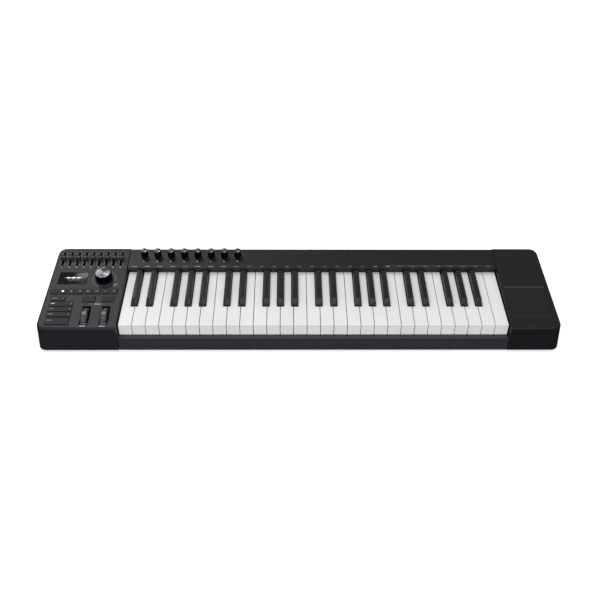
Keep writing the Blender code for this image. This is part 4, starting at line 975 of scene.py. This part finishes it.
def makePanelPrint():
    look = panelPrint
    white, grey = [], []
    for number in range(1, 10):
        x = middleOf(f"fader_cap_{number}")[0]
        y = middleOf("fader_cap_1")[1]
        tickY = y + np.linspace(-0.5, 0.5, look["tickCount"]) * look["tickSpan"]
        for side in (-1, 1):
            spots = np.stack([np.full(look["tickCount"], x + side * look["tickOffset"]), tickY], -1)
            long = np.where(np.arange(look["tickCount"]) % 5 == 0, look["longTick"], 1.0)[:, None]
            sizes = np.array([look["tick"]]) * np.concatenate([long, np.ones_like(long)], 1)
            white.append(bars(spots, sizes))
        white.append(numeralShape(str(number), look["number"], (x, look["numberY"])))
    centre = knobOrigin("main_encoder_turn")[:2]
    for angle in np.radians(look["ringDots"]):
        spot = centre + look["ring"] * np.array([math.cos(angle), math.sin(angle)])
        white.append(dotShape(spot, look["ringDot"]))
    for start, end in look["ringArcs"]:
        grey.append(arcBars(centre, look["ring"], start, end, 3.0, look["ringThick"], finish=1))
    iconX, iconY = look["iconAt"]
    for shift in look["iconBars"]:
        spot = (iconX + shift, iconY - look["iconDown"])
        grey.append(bars([spot], look["iconBar"], turn=look["iconTurn"], finish=1))
    grey.append(bars([(iconX, iconY - look["baseDown"])], look["base"], finish=1))
    middle = middleOf("octave_keypad")[0]
    left, right = middle - look["octaveHalf"], middle + look["octaveHalf"]
    y = look["octaveLineY"]
    white.append(bars([((left + right) / 2 + shift, y) for shift in (-0.0042, -0.0012, 0.0018, 0.0046)],
                      [(0.0024, 0.0016), (0.0022, 0.0016), (0.0026, 0.0016), (0.0018, 0.0016)]))
    grey.append(bars([(left + 0.0022, y), (right - 0.0022, y)], (0.0062, 0.0004), finish=1))
    grey.append(bars([(left - 0.0009, y + 0.0008), (right + 0.0009, y + 0.0008)], (0.0004, 0.002),
                     finish=1))
    for node in ("pitch_wheel", "mod_wheel"):
        x = middleOf(node)[0] + look["wheelLabelShift"]
        spots = [(x + shift, look["wheelLabelY"]) for shift in (-0.0037, -0.0012, 0.0012, 0.0036)]
        white.append(bars(spots, [(0.0021, 0.0015), (0.002, 0.0015), (0.0018, 0.0015), (0.0021, 0.0015)]))
    makePiece("panel_print", white + grey, [inkWhite, inkGrey], "root")


makePanelPrint()

stripPrint = {"drop": -0.0014, "climb": 0.0036, "front": 0.0514, "dotY": 0.0689, "dot": 0.0015,
              "lineY": 0.0551, "tickRing": 0.0098, "tick": (0.0013, 0.0004), "keys": 29, "longKeys": 9,
              "long": 0.0085, "short": 0.0042, "dash": (0.0023, 0.0010), "dashPitch": 0.0032,
              "bold": (0, 1, 2, 3, 5, 6, 7, 19, 20), "rightMargin": 0.008, "ruleFrom": 20.2,
              "ruleUp": 0.0016, "ruleThick": 0.00035, "tickUp": 0.0009, "ruleTick": (0.0004, 0.0018)}


def makeStripPrint():
    look = stripPrint
    shapes = []

    def lift(y):
        # the strip climbs a hair more steeply than the housings do
        return look["drop"] + look["climb"] * (np.asarray(y) - look["front"])

    for number in range(1, 9):
        centre = knobOrigin(f"knob_{number}_turn")[:2]
        shapes.append(dotShape((centre[0], look["dotY"]), look["dot"], lift(look["dotY"])))
        angle = np.radians(np.linspace(-50, 230, 11))
        spots = centre + look["tickRing"] * np.stack([np.cos(angle), np.sin(angle)], -1)
        shapes.append(bars(spots, look["tick"], lift(spots[:, 1]), np.degrees(angle), 1))
    # captions for the second use of each key: dashes over the keys, in runs, with a ruled line on the right
    right = highOf("rear_panel")[0] - look["rightMargin"]
    for index in range(look["keys"]):
        x = firstWhite + (index + 0.5) * whitePitch
        if x > right:
            continue
        wide = look["long"] if index < look["longKeys"] else look["short"]
        finish = 0 if index in look["bold"] else 1
        for shift in np.arange(-wide / 2, wide / 2 + 1e-6, look["dashPitch"]):
            shapes.append(bars([(x + shift, look["lineY"])], look["dash"], look["drop"], finish=finish))
    ruled = firstWhite + look["ruleFrom"] * whitePitch
    rule = ((ruled + right) / 2, look["lineY"] + look["ruleUp"])
    shapes.append(bars([rule], (right - ruled, look["ruleThick"]), look["drop"], finish=1))
    ends = np.arange(ruled, right, whitePitch)
    ticks = np.stack([ends, np.full(len(ends), look["lineY"] + look["tickUp"])], -1)
    shapes.append(bars(ticks, look["ruleTick"], look["drop"], finish=1))
    makePiece("strip_print", shapes, [inkWhite, inkGrey], "root")


makeStripPrint()

keypadPlan = {"margin": 0.0012, "square": (0.0126, 0.012), "long": 0.011, "lastLong": 0.0155,
              "longPitch": 0.0131, "firstLong": 0.0257, "octave": (0.022, 0.0128)}


def buttonPlan():
    # middle, width and depth of every button, laid out inside the three mats
    plan = keypadPlan
    low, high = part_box("transport_keypad")
    spots = []
    left, right = low[0] + plan["margin"], high[0] - plan["margin"]
    for x in np.linspace(left + plan["square"][0] / 2, right - plan["square"][0] / 2, 8):
        spots.append((x, (low[1] + high[1]) / 2, *plan["square"]))
    low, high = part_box("function_keypad")
    left, right, far = low[0] + plan["margin"], high[0] - plan["margin"], high[1] - plan["margin"]
    first = far - plan["long"] / 2
    spots.append((left + plan["firstLong"] / 2, first, plan["firstLong"], plan["long"]))
    for row in (1, 2, 3):
        spots.append(((left + right) / 2, first - row * plan["longPitch"], right - left, plan["long"]))
    near = low[1] + plan["margin"]
    spots.append(((left + right) / 2, near + plan["lastLong"] / 2, right - left, plan["lastLong"]))
    low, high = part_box("octave_keypad")
    wide, deep = plan["octave"]
    for x in (low[0] + plan["margin"] + wide / 2, high[0] - plan["margin"] - wide / 2):
        spots.append((x, (low[1] + high[1]) / 2, wide, deep))
    return spots


keypadPrint = {
    "rise": 0.0016, "icon": 0.0034, "caption": 0.0013, "boldShare": 1.7, "step": 0.0023, "cell": 0.0018,
    "start": 0.0024, "up": 0.0006, "lamp": 0.0016, "lampInset": 0.0026, "firstLamp": (0.0215, 0.0014),
    # icon strokes: width, the pause's two, and where the play and back icons set triangle and stroke
    "stroke": 0.0008, "pause": (-0.0008, 0.0009), "play": (-0.0009, 0.0014), "goBack": (0.0004, -0.0022),
    # depth on the panel, length of the caption, finish
    "rows": ((-0.0326, 0.0090, 1), (-0.0457, 0.0066, 0), (-0.0588, 0.0062, 1), (-0.0719, 0.0094, 1),
             (-0.0868, 0.0086, 1)),
    "lampRows": (-0.0457, -0.0588, -0.0719),
}


def makeKeypadPrint():
    look = keypadPrint
    rise, size = look["rise"], look["icon"]
    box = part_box("transport_keypad")
    margin = keypadPlan["margin"]
    left, right = box[0][0] + margin, box[1][0] - margin
    y = (box[0][1] + box[1][1]) / 2
    square = keypadPlan["square"][0]
    middles = np.linspace(left + square / 2, right - square / 2, 8)
    stroke, play, goBack = (look["stroke"], size), look["play"], look["goBack"]
    half = size / 2
    triangle = [(-half, -half), (half, 0), (-half, half)]
    shapes = [bars([(middles[1], y)], (size, size), rise, finish=2)]
    shapes.append(prismShape(triangle, (middles[2], y), rise, 1))
    shapes.append(bars([(middles[3] + shift, y) for shift in look["pause"]], stroke, rise, finish=1))
    shapes.append(prismShape(triangle, (middles[4] + play[0], y), rise, 1))
    shapes.append(bars([(middles[4] + play[1], y)], stroke, rise, finish=1))
    shapes.append(prismShape([(-x, -z) for x, z in triangle], (middles[5] + goBack[0], y), rise, 1))
    shapes.append(bars([(middles[5] + goBack[1], y)], stroke, rise, finish=1))
    shapes.append(dotShape((middles[6], y), half * 0.8, rise, 1))
    shapes.append(arcBars((middles[7], y), half * 0.9, 0, 350, 20.0, 0.0005, rise, 1))
    makePiece("transport_icons", shapes, [inkWhite, inkGrey, pictureBright], "transport_keypad")

    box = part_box("function_keypad")
    left = box[0][0] + margin
    shapes = []
    for y, width, finish in look["rows"]:
        count = max(3, int(round(width / look["step"])))
        spots = left + look["start"] + look["step"] * (np.arange(count) + 0.5)
        high = look["caption"] * (look["boldShare"] if finish == 0 else 1.0)
        middles = np.stack([spots, np.full(count, y + look["up"])], -1)
        shapes.append(bars(middles, (look["cell"], high), rise, finish=finish))
    for y in look["lampRows"]:
        lamp = (box[1][0] - margin - look["lampInset"], y)
        shapes.append(bars([lamp], (look["lamp"], look["lamp"]), rise, finish=1))
    along, side = look["firstLamp"]
    shapes.append(bars([(left + along, look["rows"][0][0])], (side, side), rise, finish=1))
    makePiece("function_captions", shapes, [inkWhite, inkGrey], "function_keypad")


makeKeypadPrint()

# painted shade: widths of the dark bands round the buttons and along both sides of each fader slot
gapShadeLook = {"lip": 0.0005, "slot": (0.0026, 0.037), "slotLip": 0.0008}


def sealBars(x, y, width, depth):
    # painted shade: a thin dark band all round one button, laid where the gap round it lies in shade
    look = gapShadeLook
    left, right, near, far = x - width / 2, x + width / 2, y - depth / 2, y + depth / 2
    lip = look["lip"]
    spots = [((left + right) / 2, near - lip / 2), ((left + right) / 2, far + lip / 2),
             (left - lip / 2, y), (right + lip / 2, y)]
    sizes = [(width + 2 * lip, lip), (width, lip), (lip, depth), (lip, depth + lip)]
    return bars(spots, sizes)


# painted shade: dark bands round every button and along both sides of each fader slot, where those gaps lie
# in shade
def makeSeals():
    shapes = [sealBars(x, y, width, depth) for x, y, width, depth in buttonPlan()]
    faders = [(middleOf(f"fader_cap_{number}")[0], middleOf("fader_cap_1")[1]) for number in range(1, 10)]
    for side in (-1, 1):
        slotShades = [(x + side * (gapShadeLook["slot"][0] + gapShadeLook["slotLip"]) / 2, y) for x, y in faders]
        shapes.append(bars(slotShades, (gapShadeLook["slotLip"], gapShadeLook["slot"][1])))
    makePiece("button_seals", shapes, [plastic["rubber_black_seal"]], "root")


makeSeals()

# painted highlights along the touchpad pocket's edges: how far out, how wide, how far in from the ends
padEdgeHighlight = {"out": 0.0009, "line": 0.0007, "inset": 0.001}


def makePadTrim():
    # painted highlights: fine light lines along the pocket's rear and front edges, standing for the light
    # those edges catch; the rear one lighter
    low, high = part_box("touchpad")
    middle, width = (low[0] + high[0]) / 2, high[0] - low[0] - 2 * padEdgeHighlight["inset"]
    rear = bars([(middle, high[1] + padEdgeHighlight["out"])], (width, padEdgeHighlight["line"]), finish=0)
    front = bars([(middle, low[1] - padEdgeHighlight["out"])], (width, padEdgeHighlight["line"]), finish=1)
    makePiece("touchpad_trim", [rear, front],
              [plastic["paint_slate_screen_print"], plastic["paint_charcoal_screen_print"]],
              "root")


makePadTrim()

pictureLook = {"lift": -0.00026, "bars": 23, "width": 0.0009, "pitch": 0.00135, "highest": 0.0052,
               "shift": 0.0006, "levelUp": 0.0016, "scaleDown": 0.0042, "marks": 13,
               "markPitch": 0.0016, "mark": (0.0010, 0.0011)}


def makePicture():
    # a generic level picture: bars whose heights follow two slow waves, and a dotted scale under them
    look = pictureLook
    centre = middleOf("display_window")
    number = np.arange(look["bars"]) - (look["bars"] - 1) / 2
    swell = 0.55 + 0.3 * np.cos(number * 0.9) + 0.15 * np.cos(number * 2.3)
    fade = np.clip(1.15 - np.abs(number) / look["bars"] * 1.5, 0.3, 1)
    level = np.full(look["bars"], centre[1] + look["levelUp"])
    spots = np.stack([centre[0] + look["shift"] + number * look["pitch"], level], -1)
    sizes = np.stack([np.full(look["bars"], look["width"]), look["highest"] * swell * fade], -1)
    meter = bars(spots, sizes, look["lift"], finish=0)
    marks = np.arange(look["marks"]) - look["marks"] // 2
    under = np.full(look["marks"], centre[1] - look["scaleDown"])
    spots = np.stack([centre[0] + look["shift"] + marks * look["markPitch"], under], -1)
    scale = bars(spots, look["mark"], look["lift"], finish=1)
    makePiece("display_picture", [meter, scale], [pictureBright, pictureDim], "root")


makePicture()
print("printing made")


# ---- screws
screwLook = {"radius": 0.0031, "rise": 0.0014, "recess": 0.0009, "arm": 0.00042, "reach": 0.0017,
             "backX": (-0.29, -0.13, 0.03, 0.19, 0.345), "backZ": 0.014,
             "underX": (-0.43, -0.25, -0.08, 0.09, 0.26, 0.43), "underY": 0.093, "endX": 0.43,
             "endShare": 0.6}
zincBlack = turnedMetal("steel_black_zinc_screw",
                        {"dark": "#2a2a2d", "light": "#37373b", "ring": 0.0003, "depth": 0.000004,
                         "patch": 0.001, "rough": (0.32, 0.42), "fan": 0.2}, (0.0, 0.0, 0.0))


def screwShape(centre, outward, sideways):
    # a domed head over radius and turn, with a cross sunk into it: shallow wherever either arm passes
    look = screwLook
    third = np.cross(outward, sideways)
    radius = np.concatenate([[look["radius"], look["radius"]],
                             np.linspace(look["radius"] * 0.97, 0.00005, 14)])[:, None]
    turn = np.linspace(0, 2 * math.pi, 64, endpoint=False)[None, :]
    u, v = radius * np.cos(turn), radius * np.sin(turn)
    dome = look["rise"] * np.sqrt(np.clip(1 - (radius / look["radius"] * 0.92) ** 2, 0, 1))
    arm = np.minimum(np.abs(u), np.abs(v))
    sunk = np.clip((look["arm"] - arm) / 0.00015, 0, 1) * np.clip((look["reach"] - radius) / 0.0003, 0, 1)
    height = dome - look["recess"] * sunk
    height[0] = -0.0003
    points = centre + u[..., None] * sideways + v[..., None] * third + height[..., None] * outward
    return loftShape(points)


def makeScrews():
    look = screwLook
    back, low = highOf("rear_panel")[1], lowOf("bottom_cover")[2]
    shapes = []
    for x in look["backX"]:
        shapes.append(screwShape(np.array([x, back, look["backZ"]]), np.array([0, 1.0, 0]),
                                 np.array([-1.0, 0, 0])))
    for x in look["underX"]:
        share = look["endShare"] if abs(x) >= look["endX"] else 1.0   # nearer the middle at both ends
        for y in (-look["underY"] * share, look["underY"] * share):
            shapes.append(screwShape(np.array([x, y, low]), np.array([0, 0, -1.0]), np.array([1.0, 0, 0])))
    makePiece("case_screws", shapes, [zincBlack], "root", smooth=50.0)


makeScrews()
print("screws made")


# ---- carried-over nodes
carried = {
    # node: (finish, slot, broken edge)
    "left_end_housing": (plastic["abs_grey_black_spark_eroded"], "left_housing_plastic", 0.0004),
    "right_end_housing": (plastic["abs_black_spark_eroded"], "right_housing_plastic", 0.0004),
    "bottom_cover": (plastic["abs_black_coarse_grain"], "cover_plastic", 0.0),
    "rear_panel": (stripMetal, "strip_metal", 0.0003),
    "front_rail": (railMetal, "rail_metal", 0.0003),
    "display_window": (displayGlass, "display_glass", 0.0003),
    "touchpad": (plastic["film_black_hard_coated"], "touchpad_film", 0.0004),
    "transport_keypad": (plastic["silicone_grey_black_matt"], "button_silicone", 0.0004),
    "function_keypad": (plastic["silicone_grey_black_matt"], "button_silicone", 0.0004),
    "octave_keypad": (plastic["silicone_grey_black_matt"], "button_silicone", 0.0004),
    "keybed_chassis": (chassisSteel, "chassis_steel", 0.0),
    "key_contact_board": (plastic["laminate_green_solder_mask"], "board_laminate", 0.0),
    "control_board": (plastic["laminate_black_solder_mask"], "board_laminate", 0.0),
    "connector_board": (plastic["nylon_socket_black"], "socket_plastic", 0.0),
}
for node, (finish, slotName, width) in carried.items():
    dressNode(node, finish, slotName, width)
for end in ("front", "rear"):
    for side in ("left", "right"):
        dressNode(f"foot_{end}_{side}", plastic["rubber_black_foot"], "foot_rubber", 0.0)
print("carried nodes dressed:", len(carried) + 4)

bpy.context.view_layer.update()
